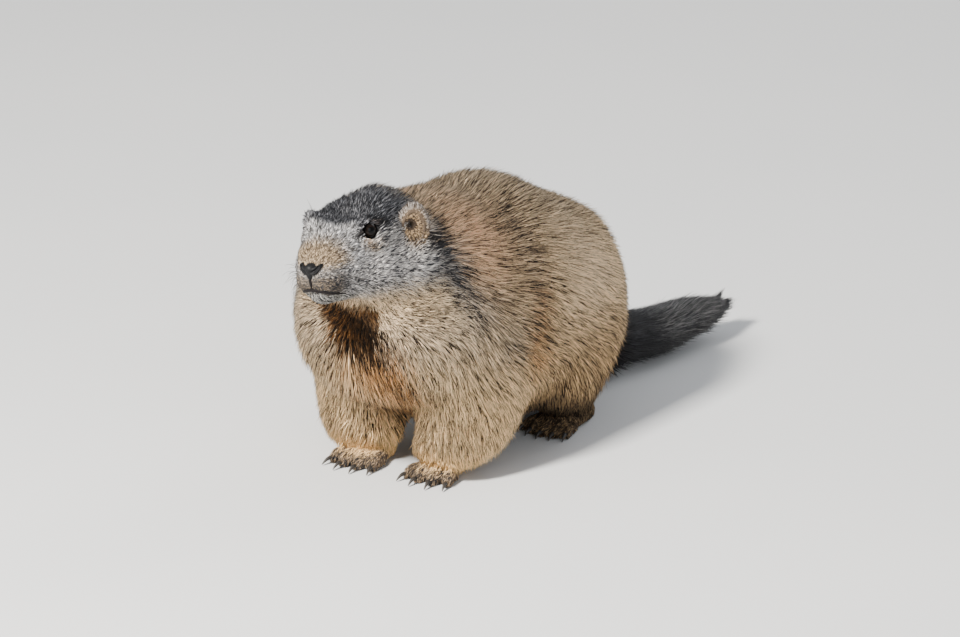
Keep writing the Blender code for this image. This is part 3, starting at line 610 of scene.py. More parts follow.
def hair_marks_and_shade(points):
    """The light hair, the dark hair and the share of dark hair at each place, painted shade and sheen
    included.
    """
    y, z = points[:, 1], points[:, 2]
    body = folded(points)
    head = folded(in_head(points))
    aside, back, up = head.T
    count = len(points)
    straw, rust, orange, umber, ash, pale, slate, smoke, fawn, sable = colours().values()
    light = np.tile(straw, (count, 1))
    dark = np.tile(umber, (count, 1))
    share = np.full(count, 0.34)

    def mark(weight, light_to, dark_to, share_to):
        nonlocal light, dark, share
        weight = np.clip(weight, 0, 1)
        light = light + (light_to - light) * weight[:, None]
        dark = dark + (dark_to - dark) * weight[:, None]
        share = share + (share_to - share) * weight

    mark(share_of(z, 0.150, 0.205) * 0.75, ash, umber, 0.45)
    mark(blob(body, (0.050, 0.016, 0.205), (0.046, 0.038, 0.034)) * 0.95, rust * 1.20, umber, 0.26)
    haunch = blob(body, (0.092, 0.128, 0.162), (0.050, 0.046, 0.044))
    mark(haunch * 0.90, np.array([1.0, 0.77, 0.52]), umber, 0.13)
    # Lower flank and haunch darker towards the bottom: painted shade of the underside.
    low = (1 - share_of(z, 0.080, 0.150)) * share_of(y, 0.040, 0.080) * (y < TAIL_START)
    mark(low * 0.75, fawn * np.array([0.72, 0.66, 0.56]), umber, 0.44)
    # Lower rump darker: painted shade.
    rump = share_of(y, 0.160, 0.205) * (1 - share_of(z, 0.135, 0.175)) * (y < TAIL_START)
    mark(rump * 0.60, fawn * 0.84, umber, 0.42)
    flank = blob(body, (0.095, 0.036, 0.126), (0.030, 0.030, 0.026))
    mark(flank * 0.90, fawn * 0.66, umber * 0.9, 0.56)
    mark(near_line(body, FLANK_BAND, 0.020) * 0.72, fawn * np.array([0.96, 0.90, 0.80]), umber * 0.8, 0.48)
    mark(near_line(body, FLANK_BAND[:4], 0.012) * 0.36, smoke * 0.7, slate * 0.8, 0.58)
    mark(near_line(body, FLANK_BAND[3:], 0.009) * 0.60, orange * 1.5, umber * 0.7, 0.60)
    mark(blob(body, (0.088, 0.010, 0.138), (0.020, 0.015, 0.015)) * 0.55, smoke * 0.62, slate, 0.55)
    legs = (1 - share_of(z, 0.070, 0.120)) * (y < 0.080)
    mark(legs * 0.85, straw * np.array([1.13, 1.09, 1.02]), umber * 0.9, 0.29)
    mark(blob(body, (0.075, 0.020, 0.150), (0.030, 0.030, 0.022)) * 0.55, ash * 0.8, umber, 0.52)
    crease = near_line(points, CHEST_STREAK, 0.0130)
    mark(crease * 0.90, orange * np.array([1.6, 1.5, 1.1]), umber, 0.48)
    # A narrow dark line along the chest streak: painted shadow in the crease between the chest and the left
    # fore leg.
    mark(near_line(points, CHEST_STREAK, 0.0052) * 1.1, orange * 0.45, umber * 0.35, 0.84)
    beside = blob(points, (0.014, -0.068, 0.124), (0.020, 0.02, 0.020))
    mark(beside * 0.75, orange * np.array([1.8, 1.7, 1.2]), umber, 0.42)
    # Orange hair on the inner sides of the fore legs, fading out low down, with a high share of dark hair
    # as painted shade between the legs.
    inner_orange_and_shade = (1 - share_of(z, 0.085, 0.110)) * (1 - share_of(body[:, 0], 0.016, 0.034)) * (y < 0.08)
    inner_orange_and_shade = inner_orange_and_shade * (0.15 + 0.85 * share_of(z, 0.035, 0.075))
    mark(inner_orange_and_shade * 0.85, orange, umber * 0.6, 0.60)
    under = (1 - share_of(z, 0.045, 0.075)) * share_of(y, 0.030, 0.060) * (y < TAIL_START)
    mark(under * (1 - share_of(body[:, 0], 0.030, 0.055)) * 0.8, orange * 1.1, umber * 0.8, 0.46)
    wrist = (1 - share_of(z, 0.030, 0.048)) * (y < 0.080)
    mark(wrist * 0.95, np.array([1.0, 0.67, 0.32]), umber * 1.6, 0.08)
    toe = (1 - share_of(z, 0.0115, 0.0190)) * (y < 0.012)
    mark(toe * 0.85, np.array([0.17, 0.125, 0.095]), slate, 0.55)
    # Underside of the haunch dark: painted shade.
    haunch_underside_shade = (1 - share_of(z, 0.046, 0.076)) * share_of(y, 0.070, 0.100) * (y < TAIL_START)
    mark(haunch_underside_shade * 0.75, fawn * 0.40, umber * 0.7, 0.58)
    # Hind feet and the lowest hind legs dark: painted shade under the body.
    sole = (1 - share_of(z, 0.026, 0.048)) * (y > 0.080) * (y < TAIL_START)
    mark(sole * 0.85, fawn * 0.34, umber * 0.7, 0.60)

    skull = on_head(points)
    mark(skull, smoke * 0.92, slate * 1.1, 0.42)
    cheek = skull * blob(head, (0.036, 0.050, -0.012), (0.032, 0.036, 0.022))
    mark(cheek * 0.95, pale * np.array([1.06, 1.03, 0.99]), slate, 0.36)
    jowl = skull * (1 - share_of(up, -0.040, -0.018)) * share_of(back, 0.030, 0.046)
    mark(jowl * 0.95, straw * 0.96 + 0.05, umber, 0.30)
    crown = skull * share_of(up, 0.014, 0.024) * share_of(back, 0.034, 0.044)
    crown = crown * (1 - 0.55 * share_of(aside, 0.028, 0.038) * share_of(back, 0.066, 0.076))
    mark(crown * 0.97, np.array([0.230, 0.230, 0.245]), slate * 0.8, 0.62)
    blaze = skull * (1 - share_of(back, 0.036, 0.045)) * share_of(up, -0.010, 0.006)
    mark(blaze, pale * 0.84, smoke * 0.18, 0.40)
    bridge = skull * (1 - share_of(back, 0.016, 0.032)) * share_of(up, -0.004, 0.004)
    mark(bridge * 0.90, np.array([0.46, 0.33, 0.19]), umber * 1.3, 0.44)
    pad = skull * (1 - share_of(back, 0.014, 0.028)) * (1 - share_of(up, -0.010, 0.000))
    mark(pad * 0.85, fawn * 0.24, slate, 0.60)
    side = skull * blob(head, (0.018, 0.024, -0.010), (0.010, 0.010, 0.010))
    mark(side * 0.8, pale * 0.66, slate * 1.2, 0.44)
    for row in range(3):
        for number in range(3):
            dot = (0.0125 + 0.0022 * number, 0.0105 + 0.0052 * number, -0.0085 - 0.0038 * row)
            mark(skull * blob(head, dot, (0.0022, 0.0019, 0.0013)) * 1.2, slate, slate * 0.6, 0.90)
    lips = in_head(rows(mouth_path(SHAPES["tree"])[16:]))
    lip_level = np.interp(aside, lips[:, 0], lips[:, 2])
    chin = skull * (1 - share_of(back, 0.026, 0.040)) * (1 - share_of(up - lip_level, -0.0016, -0.0002))
    mark(chin, np.array([0.56, 0.54, 0.50]), slate * 0.7, 0.56)
    # Orange hair under the jaw, darkened as painted shade below the head.
    throat = skull * share_of(back, 0.030, 0.046) * (1 - share_of(up, -0.046, -0.034)) * (aside < 0.020)
    mark(throat, orange * 0.5, umber * 0.6, 0.50)
    # Dark orange along the chin's lower edge: orange hair in painted shade under the chin.
    chin_underside_shade = skull * (1 - share_of(back, 0.030, 0.044)) * (1 - share_of(up, -0.0370, -0.0335))
    mark(chin_underside_shade * 0.8, orange * 0.4, umber * 0.5, 0.60)
    eye_away = np.linalg.norm(head - EYE_MIDDLE, axis=1)
    rear_reach = 0.0034 * share_of(back, 0.054, 0.062) * share_of(up, 0.014, 0.020)
    mark(skull * (1 - share_of(eye_away - rear_reach, 0.0080, 0.0093)), slate * 0.6, sable, 0.85)
    tear = [(0.0262, 0.0450, 0.0190), (0.0244, 0.0405, 0.0184), (0.0236, 0.0375, 0.0168)]
    mark(skull * near_line(head, tear, 0.0022), slate * 0.5, slate * 0.5, 0.85)
    rear = [(0.0275, 0.0590, 0.0290), (0.0315, 0.0635, 0.0262), (0.0330, 0.0650, 0.0205)]
    mark(skull * near_line(head, rear, 0.0030), slate * 0.5, slate * 0.5, 0.85)
    brow = [(0.0235, 0.0495, 0.0268), (0.0285, 0.0575, 0.0285), (0.0310, 0.0630, 0.0262)]
    mark(skull * near_line(head, brow, 0.0013) * 0.9, np.array([0.42, 0.34, 0.30]), umber * 2, 0.40)
    mark(skull * blob(head, (0.030, 0.046, 0.0085), (0.008, 0.007, 0.0038)) * 0.9, fawn * 0.62, umber, 0.48)
    lid_spot = skull * blob(head, (0.029, 0.0470, 0.0138), (0.0040, 0.0040, 0.0013))
    mark(lid_spot * 1.3, np.array([0.66, 0.50, 0.42]), fawn, 0.10)
    # Dark fur behind the ear and down the side of the neck, partly painted shade of the groove between
    # cheek and shoulder; darkest just behind the ear.
    mark(near_line(head, EAR_STREAK, 0.0050) * 1.05, slate, slate * 0.5, 0.82)
    mark(near_line(head, EAR_STREAK[:2], 0.0042), umber * 0.35, umber * 0.22, 0.85)
    mark(near_line(head, NECK_STREAK, 0.0165) * 0.66, smoke * 0.62, slate, 0.58)
    ear = skull * blob(head, (0.046, 0.086, 0.002), (0.007, 0.008, 0.010))
    mark(ear * 0.7, fawn * 0.60, umber, 0.45)
    # Near-black round each ear opening: painted shade of the ear canal.
    for side_sign in SIDES.values():
        hole = np.linalg.norm(points - np.array(ear_hole(side_sign)), axis=1)
        mark(1 - share_of(hole, 0.0026, 0.0040), umber * 0.4, umber * 0.3, 0.9)

    # Orange chest hair under the chin, darkened by a painted shadow of the chin and darker still towards
    # the animal's left.
    depth = np.clip(0.158 - z, -0.02, 0.05)
    half = np.maximum(0.030 * (1 - depth / 0.046), 0.001)
    hollow = 1 - share_of(np.abs(points[:, 0] - 0.003 - 0.26 * depth) / half, 0.72, 1.20)
    hollow = hollow * (y < -0.030) * (1 - share_of(z, 0.172, 0.182)) * share_of(z, 0.124, 0.138)
    fringe = 0.166 - 0.56 * np.maximum(points[:, 0] + 0.004, 0)
    hollow = hollow * (1 - share_of(z - fringe, -0.004, 0.003))
    shade = share_of(points[:, 0] - 0.26 * depth, -0.014, 0.012)[:, None]
    mark(hollow, orange * (0.50 - 0.40 * shade), umber * 0.25, 0.62)

    tail = share_of(y, 0.228, 0.262)
    mark(tail, slate * 0.8, sable, 0.60)
    # Lighter grey over the top of the tail past its base: a painted sheen.
    tuft = tail * share_of(z, 0.016, 0.040) * share_of(y, 0.285, 0.320)
    mark(tuft * 0.85, smoke * 0.62, slate * 0.5, 0.46)
    return light, dark, share


def mesh_arrays(mesh):
    """A triangulated mesh's points, point normals and triangles as arrays."""
    mesh.calc_loop_triangles()
    points = np.empty(len(mesh.vertices) * 3)
    mesh.vertices.foreach_get("co", points)
    normals = np.empty(len(mesh.vertices) * 3)
    mesh.vertices.foreach_get("normal", normals)
    triangles = np.empty(len(mesh.loop_triangles) * 3, dtype=np.int32)
    mesh.loop_triangles.foreach_get("vertices", triangles)
    return points.reshape(-1, 3), normals.reshape(-1, 3), triangles.reshape(-1, 3)


def put_colour(mesh, name, values):
    """Store a colour at each point."""
    attribute = mesh.attributes.new(name, "FLOAT_COLOR", "POINT")
    padded = np.concatenate([values, np.ones((len(values), 1))], axis=1)
    attribute.data.foreach_set("color", padded.astype(np.float32).ravel())


def put_value(mesh, name, values):
    """Store a number at each point."""
    attribute = mesh.attributes.new(name, "FLOAT", "POINT")
    attribute.data.foreach_set("value", np.asarray(values, dtype=np.float32))


SHAPES = {}


def outline():
    """The animal out to the tips of its coat, in body places, made once."""
    if "outline" not in SHAPES:
        clay = Clay()
        add_trunk(clay)
        add_skull(clay)
        add_limbs(clay)
        bulk = melt(clay.to_object("bulk"), BULK_VOXEL, 18)
        clay = Clay()
        clay.add_mesh(bulk.data)
        for side, heel, count in paws():
            add_paw(clay, side, heel, count)
        bpy.data.objects.remove(bulk)
        whole = melt(clay.to_object("outline"), FINE_VOXEL, 4)
        points = mesh_arrays(whole.data)[0]
        for place, reach, move in HEAD_SWELLS:
            weight = blob(in_head(points), place, reach)[:, None]
            points = points + weight * (np.array(move) @ HEAD_AXES.T)
        mirror = np.where(points[:, :1] < 0, [[-1.0, 1.0, 1.0]], 1.0)
        for place, reach, move in BODY_SWELLS:
            points = points + blob(folded(points), place, reach)[:, None] * np.array(move) * mirror
        above = np.maximum(points[:, 2] - CROWN_LEVEL, 0)
        points[:, 2] -= 0.75 * above
        outside = np.maximum(np.abs(points[:, 0]) - FLANK_LEVEL, 0)
        points[:, 0] -= 0.7 * outside * np.sign(points[:, 0])
        whole.data.vertices.foreach_set("co", points.ravel())
        whole.data.update()
        SHAPES["outline"] = mesh_arrays(whole.data)
        SHAPES["outline_mesh"] = whole.data
        SHAPES["tree"] = BVHTree.FromPolygons(
            SHAPES["outline"][0].tolist(), SHAPES["outline"][2].tolist(), all_triangles=True
        )
        bpy.data.objects.remove(whole)
    return SHAPES["outline"]


def eye_axes(side):
    """One eye's middle with its outward, forward and upward directions, in the head's frame."""
    centre = Vector((side * EYE_PLACE.x, EYE_PLACE.y, EYE_PLACE.z - EYE_DROP))
    out = Vector(
        (
            side * math.sin(EYE_TURN) * math.cos(EYE_LIFT),
            -math.cos(EYE_TURN) * math.cos(EYE_LIFT),
            math.sin(EYE_LIFT),
        )
    )
    forward = out.cross(Vector((0, 0, 1))).normalized() * side
    return centre, out, forward, (forward * side).cross(out)


def mouth_path(tree, steps=16):
    """Points along the line of the mouth, from its right corner to its left, in body places."""
    path = []
    for step in range(-steps, steps + 1):
        share = abs(step) / steps
        aside = 0.0172 * math.copysign(math.sin(share * math.pi / 2), step)
        guess = Vector((aside, -0.004 + 0.031 * share**1.7, -0.0202 - 0.0078 * share**3))
        spot, _, _, _ = tree.find_nearest(HEAD @ guess)
        path.append(spot)
    return path


def lip_groove_path(tree, steps=8):
    """Points down the groove from the nose to the lips."""
    path = []
    for step in range(steps + 1):
        low = -0.0050 - 0.0126 * step / steps
        start = HEAD @ Vector((0, -0.03, low))
        goal = HEAD @ Vector((0, 0.02, low))
        spot, _, _, _ = tree.ray_cast(start, (goal - start).normalized())
        path.append(spot or goal)
    return path


def tear_path(side):
    """Points along the corner before one eye, in body places."""
    name = "tear_left" if side > 0 else "tear_right"
    if name not in SHAPES:
        places = bent([Vector((side * aside, back, up)) for aside, back, up in TEAR_CORNER], 3)
        SHAPES[name] = [SHAPES["tree"].find_nearest(HEAD @ place)[0] for place in places]
    return SHAPES[name]


def near_line(points, path, reach):
    """1 on a line through places, falling smoothly to 0 at about twice the reach."""
    return np.exp(-((nearest_on(path, points) / reach) ** 2))


def nearest_on(path, points):
    """Each point's distance to the nearest of a path's points, by short straight stretches."""
    path = rows(path)
    best = np.full(len(points), 1.0)
    for start, end in zip(path[:-1], path[1:]):
        run = end - start
        share = np.clip(((points - start) @ run) / (run @ run), 0, 1)
        best = np.minimum(best, np.linalg.norm(points - start - share[:, None] * run, axis=1))
    return best


def shape_face(points, normals):
    """Press the eye sockets, the line of the mouth and the groove under the nose into the skin."""
    outline()
    tree = SHAPES["tree"]
    head = in_head(points)
    near = head[:, 1] < 0.080
    away = nearest_on(mouth_path(tree), points)
    points = points - normals * (0.0022 * np.exp(-((away / 0.0011) ** 2)) * near)[:, None]
    lower = np.exp(-((nearest_on(mouth_path(tree), points + [0, 0, 0.0030]) / 0.0016) ** 2))
    points = points + normals * (0.0007 * lower * near)[:, None]
    away = nearest_on(lip_groove_path(tree), points)
    points = points - normals * (0.0012 * np.exp(-((away / 0.0010) ** 2)) * near)[:, None]
    for side in SIDES.values():
        centre, out, _, _ = eye_axes(side)
        head = in_head(points) - np.array(centre)
        level = head @ np.array(out)
        across = np.linalg.norm(head - level[:, None] * np.array(out), axis=1)
        pit = (1 - share_of(across, 0.0066, 0.0084)) * (level > -0.004)
        drop = np.maximum(level + 0.002, 0) * pit
        points = points - (drop[:, None] * np.array(out)) @ HEAD_AXES.T
    return points


def make_skin():
    """One skin under the coat for all the flesh, coloured with the coat's marks and painted shade."""
    points, normals, _ = outline()
    mesh = SHAPES["outline_mesh"].copy()
    mesh.name = "skin"
    points = points - normals * coat_depth(points)[:, None]
    points[:, 2] = np.maximum(points[:, 2], 0.0016)
    mesh.vertices.foreach_set("co", points.ravel())
    bm = bmesh.new()
    bm.from_mesh(mesh)
    face = [
        vert
        for vert in bm.verts
        if (HEAD.inverted() @ vert.co).y < 0.072 and vert.co.z > 0.150
    ]
    kept = set(face)
    edges = [edge for edge in bm.edges if edge.verts[0] in kept and edge.verts[1] in kept]
    bmesh.ops.subdivide_edges(bm, edges=edges, cuts=1, use_grid_fill=True, smooth=0.3)
    bmesh.ops.triangulate(bm, faces=[face for face in bm.faces if len(face.verts) > 4])
    bm.to_mesh(mesh)
    bm.free()
    points, normals, _ = mesh_arrays(mesh)
    points = shape_face(points, normals)
    light, dark, share = hair_marks_and_shade(points)
    tone = light * (1 - share[:, None]) + dark * share[:, None]
    # Skin darker where the coat over it is deeper: painted shade of the coat.
    tone *= 0.62 - 0.34 * share_of(coat_depth(points), 0.0006, 0.0034)[:, None]
    head_away = nearest_on(mouth_path(SHAPES["tree"]), points)
    lip = np.exp(-((head_away / 0.0016) ** 2))[:, None]
    tone = tone * (1 - lip) + np.array([0.012, 0.010, 0.010]) * lip
    put_colour(mesh, "root_colour", tone * 0.45)
    put_colour(mesh, "tip_colour", tone)
    put_value(mesh, "along", np.full(len(points), 0.5))
    put_value(mesh, "chance", np.full(len(points), 0.5))
    mesh.vertices.foreach_set("co", (points + np.array(SHIFT)).ravel())
    smooth(mesh)
    return link("skin", mesh)


def node_group(name, inputs, outputs):
    """A new shader node group with the given sockets."""
    group = bpy.data.node_groups.new(name, "ShaderNodeTree")
    for label, kind, default in inputs:
        socket = group.interface.new_socket(label, in_out="INPUT", socket_type=kind)
        socket.default_value = default
    for label, kind in outputs:
        group.interface.new_socket(label, in_out="OUTPUT", socket_type=kind)
    start = group.nodes.new("NodeGroupInput")
    end = group.nodes.new("NodeGroupOutput")
    return group, start, end


def add_node(tree, kind, inputs=None, **settings):
    """A new node with its settings, each input given a value or linked to another node's output."""
    node = tree.nodes.new(kind)
    for name, value in settings.items():
        setattr(node, name, value)
    for name, value in (inputs or {}).items():
        if isinstance(value, bpy.types.NodeSocket):
            tree.links.new(value, node.inputs[name])
        else:
            node.inputs[name].default_value = value
    return node


def add_math(tree, operation, *values):
    """The result of a sum or product of values or other nodes' outputs."""
    return add_node(tree, "ShaderNodeMath", dict(enumerate(values)), operation=operation).outputs["Value"]


def add_noise(tree, scale, detail=2.0):
    """Noise over an object's own places."""
    places = add_node(tree, "ShaderNodeTexCoord")
    inputs = {"Scale": scale, "Detail": detail, "Vector": places.outputs["Object"]}
    return add_node(tree, "ShaderNodeTexNoise", inputs).outputs["Fac"]


def add_mix(tree, share, first, second):
    """A colour between two others."""
    inputs = {"Factor": share, "A": first, "B": second}
    return add_node(tree, "ShaderNodeMix", inputs, data_type="RGBA").outputs["Result"]


def new_material(name, values):
    """A new material with its node tree and its shader, whose inputs take the given values."""
    material = bpy.data.materials.new(name)
    material.use_nodes = True
    tree = material.node_tree
    shader = tree.nodes["Principled BSDF"]
    for label, value in values.items():
        shader.inputs[label].default_value = value
    return material, tree, shader


def add_bump(tree, shader, height, strength, distance):
    """Let a height show as relief on a shader's surface."""
    inputs = {"Strength": strength, "Distance": distance, "Height": height}
    bump = add_node(tree, "ShaderNodeBump", inputs)
    tree.links.new(bump.outputs["Normal"], shader.inputs["Normal"])


def strand_group():
    """Hair colour from root to tip with grain along the hair and a difference from tuft to tuft."""
    if "strand_colour" in bpy.data.node_groups:
        return bpy.data.node_groups["strand_colour"]
    inputs = [
        ("Variation", "NodeSocketFloat", 0.35),
        ("Grain", "NodeSocketFloat", 0.25),
        ("Root Reach", "NodeSocketFloat", 0.45),
    ]
    outputs = [("Color", "NodeSocketColor"), ("Height", "NodeSocketFloat")]
    group, start, end = node_group("strand_colour", inputs, outputs)
    root, tip, along, chance = (
        add_node(group, "ShaderNodeAttribute", attribute_name=name).outputs
        for name in ("root_colour", "tip_colour", "along", "chance")
    )
    reach = {"Value": along["Fac"], "From Max": start.outputs["Root Reach"]}
    rise = add_node(group, "ShaderNodeMapRange", reach, interpolation_type="SMOOTHSTEP")
    blend = add_mix(group, rise.outputs["Result"], root["Color"], tip["Color"])
    noise = add_noise(group, 900.0)
    grain = add_math(group, "MULTIPLY_ADD", noise, start.outputs["Grain"], 0.85)
    spread = add_math(group, "MULTIPLY_ADD", chance["Fac"], start.outputs["Variation"], grain)
    level = add_math(group, "MULTIPLY_ADD", start.outputs["Variation"], -0.5, spread)
    scaled = add_node(group, "ShaderNodeVectorMath", {0: blend}, operation="SCALE")
    group.links.new(level, scaled.inputs["Scale"])
    group.links.new(scaled.outputs["Vector"], end.inputs["Color"])
    group.links.new(noise, end.inputs["Height"])
    return group


def fur_material(name, roughness, variation=0.35, grain=0.25, root_reach=0.45, specular=0.30):
    """A coat finish: hair coloured with its marks and painted shade, with a soft gloss."""
    material, tree, shader = new_material(name, {"Roughness": roughness, "Specular IOR Level": specular})
    inputs = {"Variation": variation, "Grain": grain, "Root Reach": root_reach}
    hair = add_node(tree, "ShaderNodeGroup", inputs, node_tree=strand_group())
    tree.links.new(hair.outputs["Color"], shader.inputs["Base Color"])
    add_bump(tree, shader, hair.outputs["Height"], 0.25, 0.0004)
    return material


def leather_group():
    """Fine pebbled skin: a colour with darker creases and its height."""
    if "pebbled_skin" in bpy.data.node_groups:
        return bpy.data.node_groups["pebbled_skin"]
    inputs = [
        ("Color", "NodeSocketColor", (0.02, 0.02, 0.02, 1.0)),
        ("Crease", "NodeSocketColor", (0.004, 0.004, 0.004, 1.0)),
        ("Scale", "NodeSocketFloat", 1500.0),
    ]
    outputs = [("Color", "NodeSocketColor"), ("Height", "NodeSocketFloat")]
    group, start, end = node_group("pebbled_skin", inputs, outputs)
    places = add_node(group, "ShaderNodeTexCoord")
    inputs = {"Vector": places.outputs["Object"], "Scale": start.outputs["Scale"]}
    away = add_node(group, "ShaderNodeTexVoronoi", inputs).outputs["Distance"]
    joined = add_math(group, "MULTIPLY", away, add_noise(group, 260.0, 5.0))
    dome = add_math(group, "SUBTRACT", 1.0, away)
    mix = add_mix(group, joined, start.outputs["Color"], start.outputs["Crease"])
    group.links.new(mix, end.inputs["Color"])
    group.links.new(dome, end.inputs["Height"])
    return group


def leather_material(name, colour, crease, roughness, scale, bump_strength):
    """Bare skin, as on the nose, lids and ear cups."""
    material, tree, shader = new_material(name, {"Roughness": roughness, "Specular IOR Level": 0.18})
    inputs = {"Color": (*colour, 1.0), "Crease": (*crease, 1.0), "Scale": scale}
    hide = add_node(tree, "ShaderNodeGroup", inputs, node_tree=leather_group())
    tree.links.new(hide.outputs["Color"], shader.inputs["Base Color"])
    add_bump(tree, shader, hide.outputs["Height"], bump_strength, 0.0003)
    return material


def colour_ramp(tree, shader, share, steps):
    """Colour a shader by a value, through colours at places from 0 to 1."""
    ramp = add_node(tree, "ShaderNodeValToRGB", {"Fac": share})
    for number, (place, colour) in enumerate(steps):
        if number > 1:
            ramp.color_ramp.elements.new(place)
        element = ramp.color_ramp.elements[number]
        element.position = place
        element.color = (*colour, 1.0)
    tree.links.new(ramp.outputs["Color"], shader.inputs["Base Color"])


def horn_material(name):
    """Dark horn of the claws, paler and rubbed at the tips."""
    material, tree, shader = new_material(name, {"Roughness": 0.48})
    along = add_node(tree, "ShaderNodeAttribute", attribute_name="along")
    streaks = add_noise(tree, 700.0)
    rubbed = add_math(tree, "MULTIPLY", along.outputs["Fac"], streaks)
    colour_ramp(tree, shader, rubbed, [(0.0, (0.016, 0.014, 0.013)), (1.0, (0.050, 0.040, 0.032))])
    add_bump(tree, shader, streaks, 0.3, 0.0002)
    return material


def eye_material():
    """A wet near-black eye with a dark brown iris round its pupil."""
    wet = {"Roughness": 0.06, "Specular IOR Level": 0.10, "Coat Weight": 0.05, "Coat Roughness": 0.02}
    material, tree, shader = new_material("eye_wet", wet)
    iris = add_node(tree, "ShaderNodeAttribute", attribute_name="from_pupil")
    place = add_math(tree, "MULTIPLY_ADD", add_noise(tree, 600.0), 0.10, iris.outputs["Fac"])
    steps = [(0.0, (0.001, 0.001, 0.001)), (0.40, (0.001, 0.001, 0.001)), (0.46, (0.007, 0.004, 0.003))]
    steps += [(0.78, (0.004, 0.003, 0.002)), (0.90, (0.002, 0.002, 0.002))]
    colour_ramp(tree, shader, place, steps)
    return material


def finish(piece, material, slot, *nodes):
    """Give a piece its material and let it ride in place of the nodes it stands for; the slot is not used.
    """
    piece.data.materials.clear()
    piece.data.materials.append(material)
    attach(piece, "root")
    if nodes:
        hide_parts(*nodes)
    return piece


def hug(points):
    """The nearest place on the outline to each point, and the outline's normal there."""
    tree = SHAPES["tree"]
    places = np.empty_like(points)
    normals = np.empty_like(points)
    for index, point in enumerate(points.tolist()):
        place, normal, _, _ = tree.find_nearest(point)
        places[index] = place
        normals[index] = normal
    return places, normals


def coat_fields(points):
    """Each root's hair length, half width, lift of its tip and density in tufts a square metre."""
    settings = bpy.context.scene.marmot_coat
    y, z = points[:, 1], points[:, 2]
    head = in_head(points)
    skull = on_head(points)
    count = len(points)
    fields = np.empty((count, 4))
    fields[:] = (settings.trunk_length, settings.strand_width, 0.0050, 6.8e5)

    def region(weight, length, width, lift, density):
        nonlocal fields
        fields = fields + (np.array([length, width, lift, density]) - fields) * weight[:, None]

    region(blob(points, (0, 0.10, 0.03), (0.06, 0.12, 0.03)) * (z < 0.06), 0.024, 0.0006, 0.002, 2.4e5)
    region((1 - share_of(y, 0.0, 0.06)) * share_of(z, 0.13, 0.16), 0.026, 0.00044, 0.0048, 9.6e5)
    region((1 - share_of(z, 0.060, 0.110)) * (y < 0.10), settings.leg_length, 0.00042, 0.0044, 9.2e5)
    region((1 - share_of(z, 0.060, 0.110)) * (y >= 0.10), settings.leg_length, 0.00048, 0.0036, 6.2e5)
    region(1 - share_of(z, 0.022, 0.050), 0.0150, 0.00038, 0.0014, 7.6e5)
    region(1 - share_of(z, 0.011, 0.023), 0.0056, 0.00034, 0.0003, 7.6e5)
    region(skull, 0.0135, 0.00038, 0.0026, 1.15e6)
    region(skull * (1 - share_of(head[:, 1], 0.050, 0.095)), 0.0084, 0.00036, 0.0020, 2.0e6)
    region(skull * (1 - share_of(head[:, 1], 0.016, 0.045)), settings.face_length, 0.00031, 0.0009, 2.9e6)
    region(skull * (1 - share_of(head[:, 1], 0.006, 0.018)), 0.0036, 0.00026, 0.0005, 4.2e6)
    jaw = skull * (head[:, 1] < 0.05) * (1 - share_of(head[:, 2], -0.024, -0.018))
    region(jaw, 0.0062, 0.00034, 0.0010, 2.4e6)
    region(share_of(y, 0.236, 0.262), settings.tail_length, 0.00050, 0.0032, 9.0e5)
    brush = share_of(y, 0.335, 0.385) * (1 - share_of(z, 0.022, 0.036))
    region(brush, settings.tail_length, 0.00050, 0.0125, 9.0e5)
    fields[:, 3] *= settings.density
    return fields.T


def eye_clearance(points):
    """How far each place lies outside the rim of the nearer eye's lids."""
    _, out, forward, up = eye_axes(1)
    from_eye = folded(in_head(points)) - EYE_MIDDLE
    level = from_eye @ np.array(out)
    across = np.hypot(from_eye @ np.array(forward) / LID_RIM[0], from_eye @ np.array(up) / LID_RIM[1])
    found = np.where(level > -0.010, (across - 1) * 0.0074, 1.0)
    for side in SIDES.values():
        found = np.minimum(found, nearest_on(tear_path(side), points) - 0.0017)
    return found


def nose_clearance(points):
    """How far each place lies outside the nose leather."""
    head = folded(in_head(points))
    pad = [(0.0, 0.002, 0.0028), (0.0, 0.002, 0.0006)]
    foot = [(0.0, 0.002, 0.0006), (0.0, 0.002, -0.0056)]
    wing = [(0.0030, 0.001, 0.0000), (0.0086, 0.005, 0.0040)]
    found = np.minimum(nearest_on(pad, head) - 0.0049, nearest_on(foot, head) - 0.0028)
    return np.minimum(found, nearest_on(wing, head) - 0.0019)


def ear_hole(side):
    """The middle of one ear's opening, in body places."""
    centre, turn, _ = ear_form(side)
    return centre + turn.to_3x3() @ Vector((EAR_HOLE[0] * side, 0.0008, EAR_HOLE[1]))


def ear_clearance(points):
    """How far each place lies outside the rim of the nearer ear, and whether it lies before the cup."""
    best = np.full(len(points), 1.0)
    before = np.zeros(len(points), dtype=bool)
    for side in SIDES.values():
        centre, turn, half = ear_form(side)
        local = (points - np.array(centre)) @ np.array(turn)[:3, :3]
        rim = np.hypot(local[:, 0] / half[0], local[:, 2] / half[2])
        found = np.where(np.abs(local[:, 1]) < 0.014, (rim - 1) * half[0], 1.0)
        before |= (found < best) & (local[:, 1] > -0.001)
        best = np.minimum(best, found)
    return best, before


def edge_room(points):
    """How far each body place lies inside the sides, ends and top of the solid model's box."""
    low, high = (np.array(corner) - np.array(SHIFT) for corner in SHAPES["box"])
    room = np.minimum(points - low, high - points)
    room[:, 2] = (high - points)[:, 2]
    return room.min(axis=1)


def bare(points, normals):
    """Where no hair grows: the nose, the eyes, the lips and the soles."""
    lips = nearest_on(mouth_path(SHAPES["tree"]), points) < 0.0008
    lips |= nearest_on(lip_groove_path(SHAPES["tree"]), points) < 0.0008
    sole = (points[:, 2] < 0.0042) | ((normals[:, 2] < -0.75) & (points[:, 2] < 0.016))
    cup = np.zeros(len(points), dtype=bool)
    for side in SIDES.values():
        cup |= np.linalg.norm(points - np.array(ear_hole(side)), axis=1) < 0.0024
    return (nose_clearance(points) < 0) | (eye_clearance(points) < 0) | lips | sole | cup


